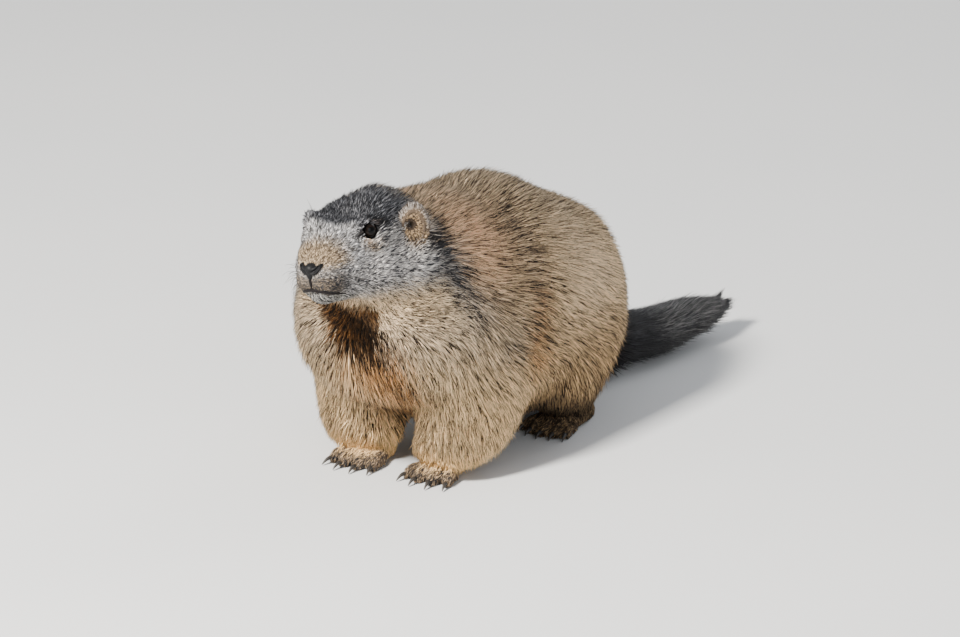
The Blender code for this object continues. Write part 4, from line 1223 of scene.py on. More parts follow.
def scatter(chance):
    """Roots spread over the outline: their places and normals."""
    points, normals, triangles = outline()
    corners = points[triangles]
    cross = np.cross(corners[:, 1] - corners[:, 0], corners[:, 2] - corners[:, 0])
    area = np.linalg.norm(cross, axis=1) / 2
    middle = corners.mean(axis=1)
    facing = unit(cross)
    density = coat_fields(middle)[3]
    weight = area * density * ~bare(middle, facing)
    total = weight.cumsum()
    count = int(total[-1])
    picks = (np.arange(count) + chance.random(count)) * (total[-1] / count)
    chosen = np.searchsorted(total, picks).clip(0, len(triangles) - 1)
    first, second = chance.random((2, count))
    flip = first + second > 1
    first[flip] = 1 - first[flip]
    second[flip] = 1 - second[flip]
    shares = np.stack([1 - first - second, first, second], axis=1)[:, :, None]
    places = (points[triangles[chosen]] * shares).sum(axis=1)
    ups = unit((normals[triangles[chosen]] * shares).sum(axis=1))
    keep = ~bare(places, ups)
    return places[keep], ups[keep]


def wander(places):
    """A slow swing of the hair's direction from place to place."""
    x, y, z = places.T
    return 0.5 * (np.sin(95 * x + 61 * z + 2 * np.sin(40 * y)) + np.sin(83 * y - 57 * z + 1.7))


# Steps that a hair's path is grown in
HAIR_STEPS = 2


def grow(places, ups, length, lift, chance, spread, clumping, clump_size):
    """Hair paths from the skin over the outline: the points, and the surface's normals along them."""
    count = len(places)
    angle = chance.normal(0, spread, count) + 0.16 * wander(places)
    tall = chance.random(count) ** 0.7
    stations = [places - ups * (coat_depth(places) + 0.0004)[:, None]]
    normals = [ups]
    at, up, before = places, ups, None
    pace = (length / HAIR_STEPS)[:, None]
    for step in range(1, HAIR_STEPS + 1):
        way = lie(at, up)
        side = np.cross(up, way)
        way = way * np.cos(angle)[:, None] + side * np.sin(angle)[:, None]
        if before is not None:
            way = unit(way * 0.55 + before * 0.45)
        ahead = at + way * pace
        near, near_up = hug(ahead)
        over = ((ahead - near) * near_up).sum(axis=1, keepdims=True)
        at = near + near_up * np.clip(over - 0.03 * pace, 0.0, 0.012)
        up = unit(up * 0.35 + near_up * 0.65)
        before = way
        share = step / HAIR_STEPS
        height = -coat_depth(at) * (1 - share * (0.60 + 0.40 * tall))
        height += share**2 * lift * (0.15 + 0.85 * tall * chance.random(count))
        stations.append(at + up * height[:, None])
        normals.append(up)
    path = np.stack(stations, axis=1)
    if clumping > 0 and count > 50:
        number = max(8, int(count / clump_size))
        leaders = chance.choice(count, number, replace=False)
        tree = KDTree(number)
        for index, leader in enumerate(leaders):
            tree.insert(places[leader], index)
        tree.balance()
        owner = leaders[[tree.find(place)[1] for place in places.tolist()]]
        pull = (path[owner] - places[owner][:, None]) - (path - places[:, None])
        gather = (places[owner] - places)[:, None]
        shares = (np.arange(HAIR_STEPS + 1) / HAIR_STEPS) ** 1.6
        strength = clumping * chance.uniform(0.2, 1.0, count)
        path = path + (pull * 0.5 + gather) * (shares[None, :] * strength[:, None])[:, :, None]
    return path, np.stack(normals, axis=1)


def in_box(points):
    """Frame places held inside the solid model's own box."""
    low, high = SHAPES["box"]
    return np.clip(points, np.array(low) + [BOX_GAP, BOX_GAP, FLOOR_GAP], np.array(high) - BOX_GAP)


# A tuft's points are its root, a ring of three and its tip
TUFT_POINTS = 5
TUFT_FACES = [(0, 2, 1), (1, 2, 4), (0, 3, 2), (2, 3, 4), (0, 1, 3), (3, 1, 4)]
TUFT_UV_SIZE = 0.003


def tuft_mesh(name, path, normals, width, root_uv, root_colour, tip_colour, draw):
    """Three-sided tufts, pointed at both ends, along their paths: one mesh with its attributes."""
    count, block = len(path), TUFT_POINTS
    across = unit(np.cross(normals, np.gradient(path, axis=1)))[:, 1]
    root, body, tip = path[:, 0], path[:, 1], path[:, 2]
    side = across * width[:, None]
    raised = normals[:, 1] * width[:, None] * 0.8
    points = np.stack([root, body - side, body + side, body + raised, tip], axis=1)
    faces = np.array(TUFT_FACES, dtype=np.int32)
    triangles = (np.arange(count, dtype=np.int32) * block)[:, None, None] + faces[None]
    total = count * len(faces)
    mesh = bpy.data.meshes.new(name)
    mesh.vertices.add(count * block)
    mesh.vertices.foreach_set("co", in_box(points + np.array(SHIFT)).astype(np.float32).ravel())
    mesh.loops.add(total * 3)
    mesh.loops.foreach_set("vertex_index", triangles.ravel())
    mesh.polygons.add(total)
    mesh.polygons.foreach_set("loop_start", np.arange(0, total * 3, 3, dtype=np.int32))
    mesh.polygons.foreach_set("use_smooth", np.ones(total, dtype=bool))
    mesh.update(calc_edges=True)
    along = np.array([0.0, 0.5, 0.5, 0.5, 1.0])
    put_value(mesh, "along", np.tile(along, count))
    put_value(mesh, "chance", np.repeat(draw, block))
    put_colour(mesh, "root_colour", np.repeat(root_colour, block, axis=0))
    put_colour(mesh, "tip_colour", np.repeat(tip_colour, block, axis=0))
    aside = np.array([0.0, -0.5, 0.5, 0.0, 0.0])
    ahead = along + np.array([0.0, 0.0, 0.0, 0.12, 0.0])
    uv = root_uv[:, None, :] + np.stack([aside, ahead], axis=1)[None] * TUFT_UV_SIZE
    layer = mesh.uv_layers.new(name="OFBake")
    layer.data.foreach_set("uv", uv.reshape(-1, 2)[triangles.ravel()].astype(np.float32).ravel())
    return mesh


def regions(points):
    """The name of the coat piece that each root belongs to."""
    x, y, z = points.T
    names = np.full(len(points), "coat_trunk", dtype=object)
    names[x >= 0] = "coat_trunk_left"
    names[x < 0] = "coat_trunk_right"
    names[(z > 0.145) & (y < 0.035)] = "coat_neck"
    names[(z < 0.092) & (y < 0.090)] = "coat_forelegs"
    names[(z < 0.075) & (y >= 0.105)] = "coat_hindlegs"
    names[(z < 0.026)] = "coat_paws"
    head = (in_head(points)[:, 1] < 0.104) & (z > 0.148)
    names[head & (x >= NOSE_TIP.x)] = "coat_head_left"
    names[head & (x < NOSE_TIP.x)] = "coat_head_right"
    names[y > TAIL_START] = "coat_tail"
    return names


# Tones of dark and light tufts, and how far their brightness varies from tuft to tuft
DARK_TONE = 0.85
LIGHT_TONE = 1.04
BRIGHTNESS_SPREAD = 0.29
BRIGHTNESS_RANGE = (0.35, 1.7)

# Triangles that a coat piece is filled up to
PIECE_TRIANGLES = 185000

# Slots of the coat pieces that don't take the common one
COAT_SLOTS = {"coat_head": "coat_grey", "coat_tail": "coat_dark", "coat_paws": "paw_fur"}


def unwrap(name, points):
    """Places on an unwrap of the skin's own shape: round its axis and along it."""
    x, y, z = points.T
    if name.startswith("coat_head"):
        head = in_head(points)
        around, along = np.arctan2(head[:, 0], head[:, 2] + 0.005), head[:, 1]
    elif name.startswith("coat_tail"):
        around, along = np.arctan2(x - 0.008 - (y - 0.272) * 0.18, z - 0.028), y
    elif name.startswith(("coat_forelegs", "coat_hindlegs", "coat_paws")):
        hind = y > 0.095
        centre_x = np.where(x >= 0, 0.045, -0.045)
        centre_y = np.where(hind, 0.160, 0.020)
        angle = np.arctan2(x - centre_x, centre_y - y) / (2 * np.pi) + 0.5
        around = angle + np.where(x >= 0, 1.1, 0.0)
        span = max(z.max() - z.min(), 1e-6)
        along = (z - z.min()) / span + np.where(hind, 1.1, 0.0)
    else:
        around, along = np.arctan2(x, z - 0.105), y
    found = []
    for values in (around, along):
        span = max(values.max() - values.min(), 1e-6)
        found.append(0.01 + 0.97 * (values - values.min()) / span)
    return np.stack(found, axis=1)


def make_coat():
    """Every tuft of the coat, as meshes of fewer than 200,000 triangles each."""
    settings = bpy.context.scene.marmot_coat
    chance = np.random.default_rng(settings.seed)
    places, ups = scatter(chance)
    names = regions(places)
    materials = {
        "coat": fur_material("fur_long", 0.60, variation=0.50, root_reach=0.52, specular=0.08),
        "coat_grey": fur_material("fur_grey", 0.62, variation=0.50, root_reach=0.52, specular=0.10),
        "coat_dark": fur_material("fur_dark", 0.45, variation=0.50, root_reach=0.60, specular=0.30),
        "paw_fur": fur_material("fur_paw", 0.65, variation=0.40, root_reach=0.45, specular=0.08),
    }
    for name in sorted(set(names)):
        chosen = names == name
        spots, up = places[chosen], ups[chosen]
        length, width, lift, _ = coat_fields(spots)
        length = length * chance.uniform(0.70, 1.25, len(spots))
        length = np.minimum(length, np.maximum(nose_clearance(spots) * 2.0, 0.0016))
        way = lie(spots, up)
        toward = eye_clearance(spots + way * 0.004) < eye_clearance(spots)
        for reach in (0.4, 0.7, 1.0):
            toward |= eye_clearance(spots + way * (length * reach)[:, None]) < 0.0003
        room = np.maximum(eye_clearance(spots) * 0.85, 0.0010)
        length = np.where(toward, np.minimum(length, room), length)
        rim, before = ear_clearance(spots)
        length = np.where(before, np.minimum(length, np.maximum(rim + 0.0022, 0.0036)), length)
        lift = np.minimum(lift, np.maximum(edge_room(spots) - 0.0012, 0.0004))
        if name == "coat_tail":
            room = np.maximum(TAIL_END - spots[:, 1], 0.008) * chance.uniform(0.75, 1.0, len(spots))
            length = np.minimum(length, room)
        short = name.startswith(("coat_head", "coat_paws"))
        spread = 0.32 if name.startswith("coat_head") else 0.12 if name == "coat_tail" else 0.18
        clump_size = 5 if short else 12
        clumping = settings.clumping * (0.60 if name == "coat_tail" else 1.0)
        path, normals = grow(spots, up, length, lift, chance, spread, clumping, clump_size)
        loose = 0.0015 if short else 0.0036
        light, dark, share = hair_marks_and_shade(spots + chance.normal(0, loose, spots.shape))
        is_dark = (chance.random(len(spots)) < share)[:, None]
        tip = np.where(is_dark, dark * DARK_TONE, light * LIGHT_TONE)
        bright = chance.normal(1.0, BRIGHTNESS_SPREAD, (len(spots), 1)).clip(*BRIGHTNESS_RANGE)
        tip = tip * bright / np.maximum((tip * bright).max(axis=1, keepdims=True), 1.0)
        root = dark * 0.55 + tip * 0.06
        width = width * chance.uniform(0.7, 1.25, len(spots))
        draw = chance.random(len(spots))
        order = np.argsort(spots[:, 1], kind="stable")
        number = int(np.ceil(len(spots) * len(TUFT_FACES) / PIECE_TRIANGLES))
        slot = next((COAT_SLOTS[key] for key in COAT_SLOTS if name.startswith(key)), "coat")
        for part, chunk in enumerate(np.array_split(order, number)):
            label = name if number == 1 else f"{name}_{part + 1}"
            mesh = tuft_mesh(
                label,
                path[chunk],
                normals[chunk],
                width[chunk],
                unwrap(name, spots[chunk]),
                root[chunk].clip(0, 1),
                tip[chunk].clip(0, 1),
                draw[chunk],
            )
            finish(link(label, mesh), materials[slot], slot)


def lid_mesh(side):
    """The lids of one eye as a ring over the ball, rounded at its rim and sunk in the skin outside."""
    sizes = bpy.context.scene.marmot_sizes
    centre, out, forward, up = eye_axes(side)
    radius = sizes.eye_radius
    around, steps = 48, 9
    points, faces = [], []
    for number in range(around):
        angle = 2 * math.pi * number / around
        along, high = math.cos(angle), math.sin(angle)
        corner = 1.0 + 0.20 * max(0.0, abs(along)) ** 6
        rim = Vector((along * (LID_OPENING[0] * corner), high * LID_OPENING[1]))
        for step in range(steps):
            share = step / (steps - 1)
            spread = rim * (1 + 0.46 * share)
            thick = 0.00015 + sizes.lid_thickness * math.sin(min(1.0, share * 2.6) * math.pi / 2)
            fall = 0.0050 * max(0.0, share - 0.30) ** 1.3
            reach = radius + thick
            flat = min(spread.length, reach * 0.98)
            level = math.sqrt(reach * reach - flat * flat) - fall
            if spread.length > 0.0078:
                level = max(level, 0.0012)
            spot = centre + forward * spread.x + up * spread.y + out * level
            points.append(HEAD @ spot + SHIFT)
    for number in range(around):
        other = (number + 1) % around
        for step in range(steps - 1):
            a, b = number * steps + step, other * steps + step
            faces.append((a, b, b + 1, a + 1))
    mesh = bpy.data.meshes.new("lids")
    mesh.from_pydata(points, [], faces)
    return mesh


def joined(name, meshes):
    """Several meshes as one object."""
    bm = bmesh.new()
    for mesh in meshes:
        bm.from_mesh(mesh)
    bmesh.ops.remove_doubles(bm, verts=list(bm.verts), dist=0.000002)
    bmesh.ops.recalc_face_normals(bm, faces=list(bm.faces))
    made = bpy.data.meshes.new(name)
    bm.to_mesh(made)
    bm.free()
    smooth(made)
    return link(name, made)


def make_eyes():
    """Both eyeballs with their lids."""
    sizes = bpy.context.scene.marmot_sizes
    wet = eye_material()
    rim = leather_material("lid_skin", (0.006, 0.005, 0.005), (0.003, 0.002, 0.002), 0.75, 1800.0, 0.3)
    for name, side in SIDES.items():
        centre, out, forward, up = eye_axes(side)
        turn = HEAD_TURN @ Matrix((forward * side, up, out)).transposed().to_4x4()
        bm = bmesh.new()
        bmesh.ops.create_uvsphere(bm, u_segments=48, v_segments=32, radius=sizes.eye_radius)
        heights = [vert.co.z / sizes.eye_radius for vert in bm.verts]
        for vert in bm.verts:
            cap = max(0.0, vert.co.z / sizes.eye_radius - 0.70) / 0.30
            vert.co *= 1.0 + 0.035 * cap
        place = Matrix.Translation(SHIFT + HEAD @ centre) @ turn
        bmesh.ops.transform(bm, matrix=place, verts=list(bm.verts))
        bmesh.ops.recalc_face_normals(bm, faces=list(bm.faces))
        mesh = bpy.data.meshes.new("eyeball_" + name)
        bm.to_mesh(mesh)
        bm.free()
        put_value(mesh, "from_pupil", [math.acos(max(-1, min(1, height))) / 0.95 for height in heights])
        smooth(mesh)
        finish(link("eyeball_" + name, mesh), wet, "eye", "eye_" + name)
    lids = joined("lids", [lid_mesh(side) for side in SIDES.values()])
    thick = lids.modifiers.new("thick", "SOLIDIFY")
    thick.thickness = 0.0004
    thick.offset = -1.0
    settle(lids)
    finish(lids, rim, "nose_skin")


def make_nose():
    """The pebbled nose pad with its comma-shaped nostrils."""
    clay = Clay()
    clay.egg(HEAD @ Vector((0, 0.0056, 0.0014)), (0.0050, 0.0060, 0.0046), HEAD_TURN, 24)
    clay.egg(HEAD @ Vector((0, 0.0050, -0.0032)), (0.0030, 0.0050, 0.0044), HEAD_TURN, 24)
    for side in SIDES.values():
        wing = [
            (Vector((side * 0.0030, 0.0034, -0.0002)), (0.0026, 0.0034, 0.0030)),
            (Vector((side * 0.0062, 0.0044, 0.0014)), (0.0022, 0.0034, 0.0026)),
            (Vector((side * 0.0086, 0.0068, 0.0042)), (0.0013, 0.0034, 0.0015)),
        ]
        clay.run(wing, steps=6, place=HEAD, segments=18)
    pad = melt(clay.to_object("nose_pad"), 0.00045, 5)
    points = mesh_arrays(pad.data)[0]
    inward = np.array(HEAD_TURN)[:3, 1]
    for side in SIDES.values():
        nostril = [
            HEAD @ Vector((side * 0.0032, -0.0008, -0.0002)),
            HEAD @ Vector((side * 0.0056, 0.0004, 0.0010)),
            HEAD @ Vector((side * 0.0078, 0.0026, 0.0034)),
        ]
        away = nearest_on(nostril, points)
        points = points + inward * (0.0034 * np.exp(-((away / 0.0012) ** 2)))[:, None]
    middle = nearest_on([HEAD @ Vector((0, -0.001, 0.006)), HEAD @ Vector((0, -0.001, -0.008))], points)
    points = points + inward * (0.0006 * np.exp(-((middle / 0.0006) ** 2)))[:, None]
    pad.data.vertices.foreach_set("co", (points + np.array(SHIFT)).ravel())
    smooth(pad.data)
    top, pore = (0.006, 0.006, 0.007), (0.002, 0.002, 0.002)
    leather = leather_material("nose_leather", top, pore, 0.50, 1500.0, 0.45)
    finish(pad, leather, "nose_skin", "nose")


def ear_turn(side):
    """The turn of one ear: its width, the way it faces and its height."""
    facing = Vector((side * 0.62, -0.76, 0.10)).normalized()
    tall = Vector((side * 0.12, 0.08, 1.0)) if side > 0 else Vector((side * 0.22, 0.55, 1.0))
    tall = (tall - facing * tall.dot(facing)).normalized()
    return HEAD_TURN @ Matrix((facing.cross(tall), facing, tall)).transposed().to_4x4()


def ear_form(side):
    """One ear's middle, turn and half sizes; the right ear is laid lower and further back."""
    lower = -0.0006 if side > 0 else 0.0085
    out = 0.0024 if side > 0 else 0.0
    centre = HEAD @ (Vector((side * (EAR_PLACE.x + out), EAR_PLACE.y, EAR_PLACE.z - lower)))
    size = 1.14 if side > 0 else 0.90
    half = (EAR_HALF[0] * size, EAR_HALF[1], EAR_HALF[2] * size)
    return centre, ear_turn(side), half


def make_ears():
    """Rounded ear cups, each hollowed on the side it faces."""
    made = []
    for name, side in SIDES.items():
        centre, turn, half = ear_form(side)
        shell = Clay()
        shell.egg(centre, [reach - 0.0006 for reach in half], turn, 40)
        ear = shell.to_object("ear_" + name + "_flap")
        hollow = Clay()
        room = (half[0] * 0.74, 0.0060, half[2] * 0.76)
        hollow.egg(centre + turn.to_3x3() @ Vector((0, 0.0052, 0.0006)), room, turn, 32)
        cutter = hollow.to_object("cup")
        cut = ear.modifiers.new("cut", "BOOLEAN")
        cut.operation = "DIFFERENCE"
        cut.object = cutter
        cut.solver = "EXACT"
        settle(ear)
        melt(ear, 0.00055, 5)
        bpy.data.objects.remove(cutter)
        points = mesh_arrays(ear.data)[0]
        local = (points - np.array(centre)) @ np.array(turn)[:3, :3]
        hole = [EAR_HOLE[0] * side, 0.0010, EAR_HOLE[1]]
        # The cup darkens to near black round the opening: painted shade of the ear canal.
        hole_shade = np.exp(-(((local - hole) / [0.0034, 0.008, 0.0036]) ** 2).sum(axis=1))[:, None]
        tone = np.array([0.075, 0.055, 0.040]) * (1 - hole_shade) + np.array([0.001, 0.001, 0.001]) * hole_shade
        put_colour(ear.data, "root_colour", tone * 0.6)
        put_colour(ear.data, "tip_colour", tone)
        put_value(ear.data, "along", np.full(len(points), 0.6))
        put_value(ear.data, "chance", np.full(len(points), 0.5))
        ear.data.vertices.foreach_set("co", (points + np.array(SHIFT)).ravel())
        smooth(ear.data)
        down = fur_material("ear_down_" + name, 0.9, variation=0.0, grain=0.3, specular=0.02)
        made.append(finish(ear, down, "coat_grey", "ear_" + name))
    return made


def ear_fur(chance):
    """Short hair over the backs, rims and cups of the ears, parted round the opening."""
    meshes = []
    for name, side in SIDES.items():
        centre, turn, half = ear_form(side)
        axes = np.array(turn)[:3, :3]
        half = np.array(half) - 0.0006
        ball = unit(chance.normal(size=(5000, 3)))
        more = unit(chance.normal(size=(9000, 3)))
        more = more[(more[:, 1] > 0.25) & (np.hypot(more[:, 0] / 0.84, more[:, 2] / 0.86) < 1.0)]
        ball = np.concatenate([ball, more])
        inside = (ball[:, 1] > 0.25) & (np.hypot(ball[:, 0] / 0.84, ball[:, 2] / 0.86) < 1.0)
        local = ball * half
        normal = unit(ball / half)
        local[inside, 1] = 0.0004
        normal[inside] = (0.0, 1.0, 0.0)
        hole = np.array([EAR_HOLE[0] * side, 0.0, EAR_HOLE[1]])
        from_hole = local - hole
        from_hole[:, 1] = 0
        keep = ~(inside & (np.linalg.norm(from_hole, axis=1) < 0.0020))
        local, normal, inside, from_hole = local[keep], normal[keep], inside[keep], from_hole[keep]
        upward = np.stack([local[:, 0] * 60, np.full(len(local), -0.35), np.ones(len(local))], axis=1)
        upward[inside] = unit(from_hole[inside]) + [0.0, 0.30, 0.15]
        way = unit(upward - normal * (upward * normal).sum(axis=1, keepdims=True) * ~inside[:, None])
        way = unit(way + chance.normal(0, 0.16, way.shape))
        away = np.linalg.norm(from_hole, axis=1)
        length = chance.uniform(0.0034, 0.0062, len(local))
        length = length * np.where(inside, np.clip(away / 0.006, 0.35, 0.85), 1)
        length = length[:, None]
        start = local - normal * 0.0006
        middle = local + way * length * 0.5 + normal * 0.0004
        end = local + way * length + normal * chance.uniform(0.0, 0.0012, (len(local), 1))
        path = np.stack([start, middle, end], axis=1) @ axes.T + np.array(centre)
        normals = np.repeat((normal @ axes.T)[:, None], 3, axis=1)
        hue = colours()
        high = share_of(np.hypot(local[:, 0] / half[0], local[:, 2] / half[2]), 0.55, 0.90)[:, None]
        high = high * share_of(local[:, 2], -0.006, 0.004)[:, None]
        behind = share_of(-local[:, 1], 0.0010, 0.0030)[:, None]
        tip = hue["fawn"] * 0.54 * (1 - high) + (hue["pale"] * 0.36 + hue["fawn"] * 0.12) * high
        tip = tip * (1 - behind) + hue["smoke"] * 0.7 * behind
        dark = chance.random(len(local)) < 0.42 + 0.10 * high[:, 0] + 0.16 * behind[:, 0]
        # Dark tufts close round the opening: painted shade of the ear canal.
        dark |= inside & (away < 0.0034)
        tip = np.where(dark[:, None], hue["umber"] * 0.9, tip) * chance.uniform(0.75, 1.2, (len(local), 1))
        width = np.full(len(local), 0.00028)
        across = np.arctan2(local[:, 0], local[:, 1]) / 7 + 0.5
        uv = np.stack([across, local[:, 2] / half[2] * 0.47 + 0.5], axis=1)
        draw = chance.random(len(local))
        label = "coat_ear_" + name
        meshes.append((name, tuft_mesh(label, path, normals, width, uv, tip * 0.25, tip.clip(0, 1), draw)))
    return meshes


def tube_tree(name):
    """Geometry nodes that turn paths with a radius at each point into tapered tubes."""
    tree = bpy.data.node_groups.new(name, "GeometryNodeTree")
    tree.interface.new_socket("Geometry", in_out="INPUT", socket_type="NodeSocketGeometry")
    thick = tree.interface.new_socket("Thickness", in_out="INPUT", socket_type="NodeSocketFloat")
    thick.default_value = 1.0
    sides = tree.interface.new_socket("Sides", in_out="INPUT", socket_type="NodeSocketInt")
    sides.default_value = 8
    finish_of = tree.interface.new_socket("Material", in_out="INPUT", socket_type="NodeSocketMaterial")
    tree.interface.new_socket("Geometry", in_out="OUTPUT", socket_type="NodeSocketGeometry")
    nodes, links = tree.nodes, tree.links
    start, end = nodes.new("NodeGroupInput"), nodes.new("NodeGroupOutput")
    to_curve = nodes.new("GeometryNodeMeshToCurve")
    ring = nodes.new("GeometryNodeCurvePrimitiveCircle")
    ring.inputs["Radius"].default_value = 1.0
    radius = nodes.new("GeometryNodeInputNamedAttribute")
    radius.data_type = "FLOAT"
    radius.inputs["Name"].default_value = "radius"
    scaled = nodes.new("ShaderNodeMath")
    scaled.operation = "MULTIPLY"
    tube = nodes.new("GeometryNodeCurveToMesh")
    tube.inputs["Fill Caps"].default_value = True
    real = nodes.new("GeometryNodeRealizeInstances")
    paint = nodes.new("GeometryNodeSetMaterial")
    links.new(start.outputs["Geometry"], to_curve.inputs["Mesh"])
    links.new(start.outputs["Sides"], ring.inputs["Resolution"])
    links.new(radius.outputs["Attribute"], scaled.inputs[0])
    links.new(start.outputs["Thickness"], scaled.inputs[1])
    links.new(to_curve.outputs["Curve"], tube.inputs["Curve"])
    links.new(ring.outputs["Curve"], tube.inputs["Profile Curve"])
    if "Scale" in tube.inputs:
        links.new(scaled.outputs["Value"], tube.inputs["Scale"])
    links.new(tube.outputs["Mesh"], real.inputs["Geometry"])
    links.new(real.outputs["Geometry"], paint.inputs["Geometry"])
    links.new(start.outputs["Material"], paint.inputs["Material"])
    links.new(paint.outputs["Geometry"], end.inputs["Geometry"])
    return tree, thick.identifier, sides.identifier, finish_of.identifier


def shares_along(path):
    """How far along a path each of its points lies, from 0 to 1."""
    return [step / (len(path) - 1) for step in range(len(path))]


def tubes_along(name, paths, radii, sides, material, slot):
    """Tapered tubes along paths, as one finished mesh."""
    points, edges, radius, along = [], [], [], []
    for path, widths in zip(paths, radii):
        first = len(points)
        points += in_box(rows(path) + np.array(SHIFT)).tolist()
        edges += [(first + step, first + step + 1) for step in range(len(path) - 1)]
        radius += list(widths)
        along += shares_along(path)
    mesh = bpy.data.meshes.new(name)
    mesh.from_pydata(points, edges, [])
    put_value(mesh, "radius", radius)
    put_value(mesh, "along", along)
    guide = link(name, mesh)
    tree, thick_id, sides_id, material_id = tube_tree(name + "_tubes")
    nodes = guide.modifiers.new("tubes", "NODES")
    nodes.node_group = tree
    nodes[thick_id] = 1.0
    nodes[sides_id] = sides
    nodes[material_id] = material
    settle(guide)
    bm = bmesh.new()
    bm.from_mesh(guide.data)
    bmesh.ops.remove_doubles(bm, verts=list(bm.verts), dist=0.000004)
    bmesh.ops.recalc_face_normals(bm, faces=list(bm.faces))
    bm.to_mesh(guide.data)
    bm.free()
    smooth(guide.data)
    return finish(guide, material, slot)


def bent(stations, steps):
    """A smooth path through stations."""
    found = []
    for step in range((len(stations) - 1) * steps + 1):
        centre, _ = eased([(station, (0, 0, 0)) for station in stations], step / steps)
        found.append(centre)
    return found


def make_claws():
    """Curved tapering claws on every toe."""
    sizes = bpy.context.scene.marmot_sizes
    paths, radii = [], []
    for side, heel, count in paws():
        length = sizes.fore_claw if count == 4 else sizes.hind_claw
        for _, tip, ahead in toes(side, heel, count):
            up = Vector((0, 0, 1))
            root = tip - Vector((0, 0, 0.0010))
            path = bent(
                [
                    root,
                    root + ahead * (length * 0.40) + up * 0.0012,
                    root + ahead * (length * 0.72) - up * 0.0004,
                    root + ahead * (length * 0.98) - up * 0.0028,
                ],
                5,
            )
            paths.append(path)
            radii.append([0.0016 * (1 - share**1.9) + 0.00020 for share in shares_along(path)])
    tubes_along("claws", paths, radii, 12, horn_material("claw_horn"), "nose_skin")


def make_whiskers():
    """Fine whiskers from the lip pads and a few over the eyes."""
    outline()
    sizes = bpy.context.scene.marmot_sizes
    chance = np.random.default_rng(3)
    tree = SHAPES["tree"]
    paths, radii = [], []
    for side in SIDES.values():
        for row in range(4):
            for number in range(5):
                spot = Vector((side * 0.030, 0.0130 + 0.0036 * number, -0.0055 - 0.0034 * row))
                root, normal, _, _ = tree.find_nearest(HEAD @ spot)
                way = Vector((side * 0.85, 0.25 + 0.16 * number, -0.12 - 0.16 * row))
                way += Vector(chance.normal(0, 0.10, 3))
                way = (HEAD_TURN.to_3x3() @ way).normalized()
                length = sizes.whisker_length * (0.45 + 0.14 * number) * chance.uniform(0.7, 1.05)
                droop = Vector((0, 0.10, -0.16)) * length
                middle, end = root + way * length * 0.5, root + way * length + droop
                path = bent([root - normal * 0.001, middle, end], 5)
                paths.append(path)
                radii.append([sizes.whisker_radius * (1 - 0.85 * share) for share in shares_along(path)])
        for number in range(3):
            spot = Vector((side * (0.0185 + 0.003 * number), 0.050 + 0.003 * number, 0.034))
            root, normal, _, _ = tree.find_nearest(HEAD @ spot)
            way = (HEAD_TURN.to_3x3() @ Vector((side * 0.5, 0.35, 0.75))).normalized()
            length = sizes.whisker_length * chance.uniform(0.20, 0.30)
            path = bent([root - normal * 0.001, root + way * length * 0.5, root + way * length], 4)
            paths.append(path)
            thin = sizes.whisker_radius * 0.8
            radii.append([thin * (1 - 0.85 * share) for share in shares_along(path)])
    black = leather_material("whisker_black", (0.012, 0.011, 0.011), (0.02, 0.018, 0.016), 0.4, 900.0, 0.1)
    tubes_along("whiskers", paths, radii, 5, black, "coat_dark")


def make_mouth():
    """The dark line between the lips and the groove under the nose."""
    outline()
    tree = SHAPES["tree"]
    lips = [Vector(point) for point in mouth_path(tree)]
    inward = HEAD_TURN.to_3x3() @ Vector((0, 1, 0))
    lips = [point + inward * 0.0011 for point in lips]
    drop = [Vector(point) + inward * 0.0005 for point in lip_groove_path(tree)]
    lip_radii = []
    for step in range(33):
        taper = min(1.0, 0.34 + 0.22 * min(step, 32 - step))
        lip_radii.append(0.0020 * (1 - 0.42 * abs(step / 16 - 1) ** 1.4) * taper)
    skin = leather_material("lip_skin", (0.007, 0.005, 0.005), (0.003, 0.002, 0.002), 0.7, 1500.0, 0.2)
    tubes_along("lips", [lips, drop], [lip_radii, [0.0011] * len(drop)], 8, skin, "nose_skin")
    corners = []
    for side in SIDES.values():
        corners.append([spot - tree.find_nearest(spot)[1] * 0.0008 for spot in tear_path(side)])
    wide = [0.0014 * (1 - 0.85 * step / 6) for step in range(7)]
    tubes_along("eye_corners", corners, [wide, wide], 8, skin, "nose_skin")


class MARMOT_OT_skin(bpy.types.Operator):
    """Build the skin under the coat"""

    bl_idname = "marmot.skin"
    bl_label = "Skin"

    def execute(self, context):
        hide = fur_material("skin_down", 0.75, variation=0.0, grain=0.5)
        finish(make_skin(), hide, "coat", *FLESH)
        return {"FINISHED"}


class MARMOT_OT_coat(bpy.types.Operator):
    """Build the coat's tufts, ears' hair included"""

    bl_idname = "marmot.coat"
    bl_label = "Coat"

    def execute(self, context):
        make_coat()
        chance = np.random.default_rng(context.scene.marmot_coat.seed + 1)
        for name, mesh in ear_fur(chance):
            finish(link("coat_ear_" + name, mesh), fur_material("fur_ear_" + name, 0.6), "coat_grey")
        return {"FINISHED"}


class MARMOT_OT_eyes(bpy.types.Operator):
    """Build the eyes and their lids"""

    bl_idname = "marmot.eyes"
    bl_label = "Eyes"

    def execute(self, context):
        make_eyes()
        return {"FINISHED"}


class MARMOT_OT_face(bpy.types.Operator):
    """Build the nose, lips, ears and whiskers"""

    bl_idname = "marmot.face"
    bl_label = "Face"

    def execute(self, context):
        make_nose()
        make_mouth()
        make_ears()
        make_whiskers()
        return {"FINISHED"}


class MARMOT_OT_claws(bpy.types.Operator):
    """Build the claws"""

    bl_idname = "marmot.claws"
    bl_label = "Claws"

    def execute(self, context):
        make_claws()
        return {"FINISHED"}


def area_light(name, place, aim, size, power, colour):
    """A soft rectangular light that points at a place."""
    light = bpy.data.lights.new(name, "AREA")
    light.shape = "RECTANGLE"
    light.size, light.size_y = size
    light.energy = power
    light.color = colour
    obj = bpy.data.objects.new(name, light)
    bpy.context.scene.collection.objects.link(obj)
    obj.location = place
    obj.rotation_euler = (Vector(aim) - Vector(place)).to_track_quat("-Z", "Y").to_euler()
    return obj


